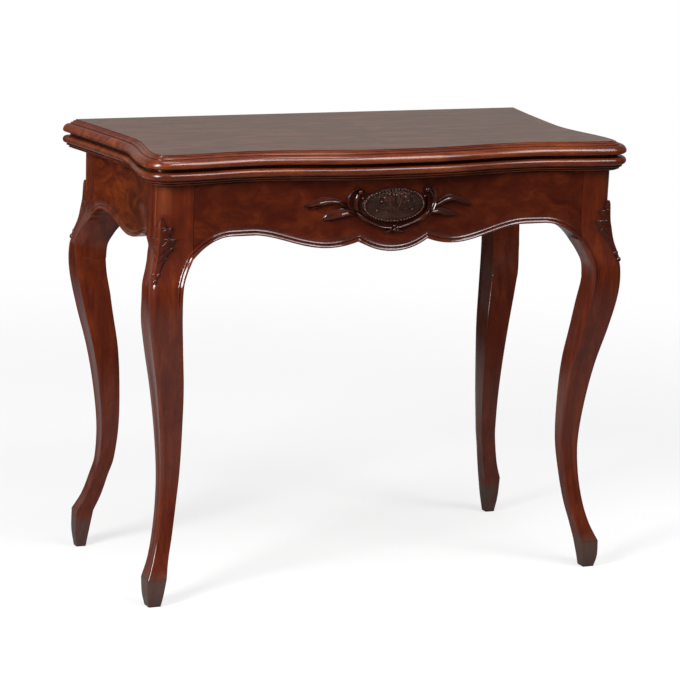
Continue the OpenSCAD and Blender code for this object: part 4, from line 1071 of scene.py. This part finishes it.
# what the wood sees in the sheet: dim, dimmer far away, brighter in a band behind the table
away = add(tree, "MapRange", {"Value": far, "From Min": 0.7, "From Max": 2.2, "To Min": 0.22, "To Max": 0.03},
           interpolation_type="SMOOTHSTEP")
back = add(tree, "SeparateXYZ", {"Vector": place}).outputs["Y"]
rise = add(tree, "MapRange", {"Value": back, "From Min": 0.3, "From Max": 0.9, "To Max": 0.2},
           interpolation_type="SMOOTHSTEP")
fall = add(tree, "MapRange", {"Value": back, "From Min": 1.3, "From Max": 2.1, "To Min": 1.0, "To Max": 0.0},
           interpolation_type="SMOOTHSTEP")
grey = add(tree, "Math", {0: rise.outputs["Result"], 1: fall.outputs["Result"], 2: away.outputs["Result"]},
           operation="MULTIPLY_ADD")
# light that the sheet sends back onto the wood
bounce = add(tree, "Math", {0: path["Is Diffuse Ray"], 1: 0.42}, operation="MULTIPLY")
grey = add(tree, "Math", {0: grey.outputs[0], 1: bounce.outputs[0]}, operation="MAXIMUM").outputs[0]
dim = add(tree, "BsdfDiffuse", {"Color": grey}).outputs[0]
# the white sheet glows a little to the camera, so the shadow on it stays faint
white = add(tree, "Emission", {"Color": rgb("#ffffff"), "Strength": 1.0}).outputs[0]
sheet = add(tree, "MixShader", {0: 0.68, 1: bsdf.outputs[0], 2: white}).outputs[0]
seen = add(tree, "MixShader", {0: path["Is Camera Ray"], 1: dim, 2: sheet}).outputs[0]
clear = add(tree, "BsdfTransparent").outputs[0]
tree.links.new(add(tree, "MixShader", {0: gone, 1: seen, 2: clear}).outputs[0],
               tree.nodes["Material Output"].inputs["Surface"])
FLOOR_HALF, FLOOR_DROP = 6.0, 0.0005      # in metres; the drop keeps the sheet just clear of the feet
mesh = bpy.data.meshes.new("floor")
mesh.from_pydata([(x * FLOOR_HALF, y * FLOOR_HALF, 0) for x, y in ((-1, -1), (1, -1), (1, 1), (-1, 1))], [],
                 [(0, 1, 2, 3)])
mesh.materials.append(floor_mat)
floor = bpy.data.objects.new("floor", mesh)
floor.location = (0, 0, -FLOOR_DROP)
bpy.context.collection.objects.link(floor)

# the studio: white to the camera, a soft grey wall behind and a dark room in front to reflections
world = bpy.data.worlds.new("studio")
bpy.context.scene.world = world
world.use_nodes = True
tree = world.node_tree
tree.nodes.clear()
path = add(tree, "LightPath").outputs
way = add(tree, "SeparateXYZ", {"Vector": add(tree, "TexCoord").outputs["Generated"]}).outputs["Y"]
level = add(tree, "MapRange", {"Value": way, "From Max": 0.8, "To Min": 0.05,
                               "To Max": 0.28}).outputs["Result"]
ambient = add(tree, "Background", {"Color": rgb("#ffffff"), "Strength": 0.24}).outputs[0]
glossy = add(tree, "Background", {"Color": rgb("#fffaf8"), "Strength": level}).outputs[0]
white = add(tree, "Background", {"Color": rgb("#ffffff"), "Strength": 1.0}).outputs[0]
shade = add(tree, "MixShader", {0: path["Is Glossy Ray"], 1: ambient, 2: glossy}).outputs[0]
shade = add(tree, "MixShader", {0: path["Is Camera Ray"], 1: shade, 2: white}).outputs[0]
tree.links.new(shade, add(tree, "OutputWorld").inputs["Surface"])

AIM = np.array([0, 0, 0.45])              # the lamps look at the middle of the table, in metres


def turned(obj, side, over, away, spot):
    """Puts the object at spot with its own x, y and z along side, over and away."""
    obj.matrix_world = Matrix([[side[i], over[i], away[i], spot[i]] for i in range(3)] + [[0, 0, 0, 1]])
    bpy.context.collection.objects.link(obj)


def area(name, azimuth, elevation, distance, width, height, power):
    """Soft white light: degrees from the front towards the right and up, then metres and watts."""
    light = bpy.data.lights.new(name, "AREA")
    light.shape, light.size, light.size_y, light.energy = "RECTANGLE", width, height, power
    a, e = math.radians(azimuth), math.radians(elevation)
    away = np.array([math.sin(a) * math.cos(e), -math.cos(a) * math.cos(e), math.sin(e)])
    side = np.cross(-away, [0, 0, 1])
    side /= np.linalg.norm(side)
    turned(bpy.data.objects.new(name, light), side, np.cross(side, -away), away, AIM + away * distance)


# tall and low at the left for the side and the legs' left edges, the key above the front, a broad one at the
# right for the legs' fronts, and one overhead for the top
area("left", -62, 27, 2.7, 0.68, 1.45, 82)
area("key", 18, 50, 3.6, 1.3, 0.6, 33)
area("right", 42, 46, 3.6, 1.0, 1.6, 46)
area("top", 0, 82, 3.2, 1.6, 1.0, 34)

# the camera that was fitted to the table's corners, feet and edges: angles in radians, place in metres
YAW, PITCH, ROLL = 0.4307, 0.2155, 0.0390
EYE = (-2.22298, -4.83269, 1.55074)
PHOTO_PX, FOCAL_PX = 680, 3164.317
SENSOR_MM = 36.0
fwd = np.array([math.sin(YAW) * math.cos(PITCH), math.cos(YAW) * math.cos(PITCH), -math.sin(PITCH)])
right = np.array([math.cos(YAW), -math.sin(YAW), 0.0])
up = np.cross(right, fwd)
right, up = (right * math.cos(ROLL) + up * math.sin(ROLL), -right * math.sin(ROLL) + up * math.cos(ROLL))
camera = bpy.data.cameras.new("camera")
camera.sensor_width, camera.lens = SENSOR_MM, SENSOR_MM * FOCAL_PX / PHOTO_PX
camera.clip_start, camera.clip_end = 0.1, 60
eye = bpy.data.objects.new("camera", camera)
turned(eye, right, up, -fwd, EYE)
bpy.context.scene.camera = eye
bpy.context.scene.view_settings.view_transform = "Standard"
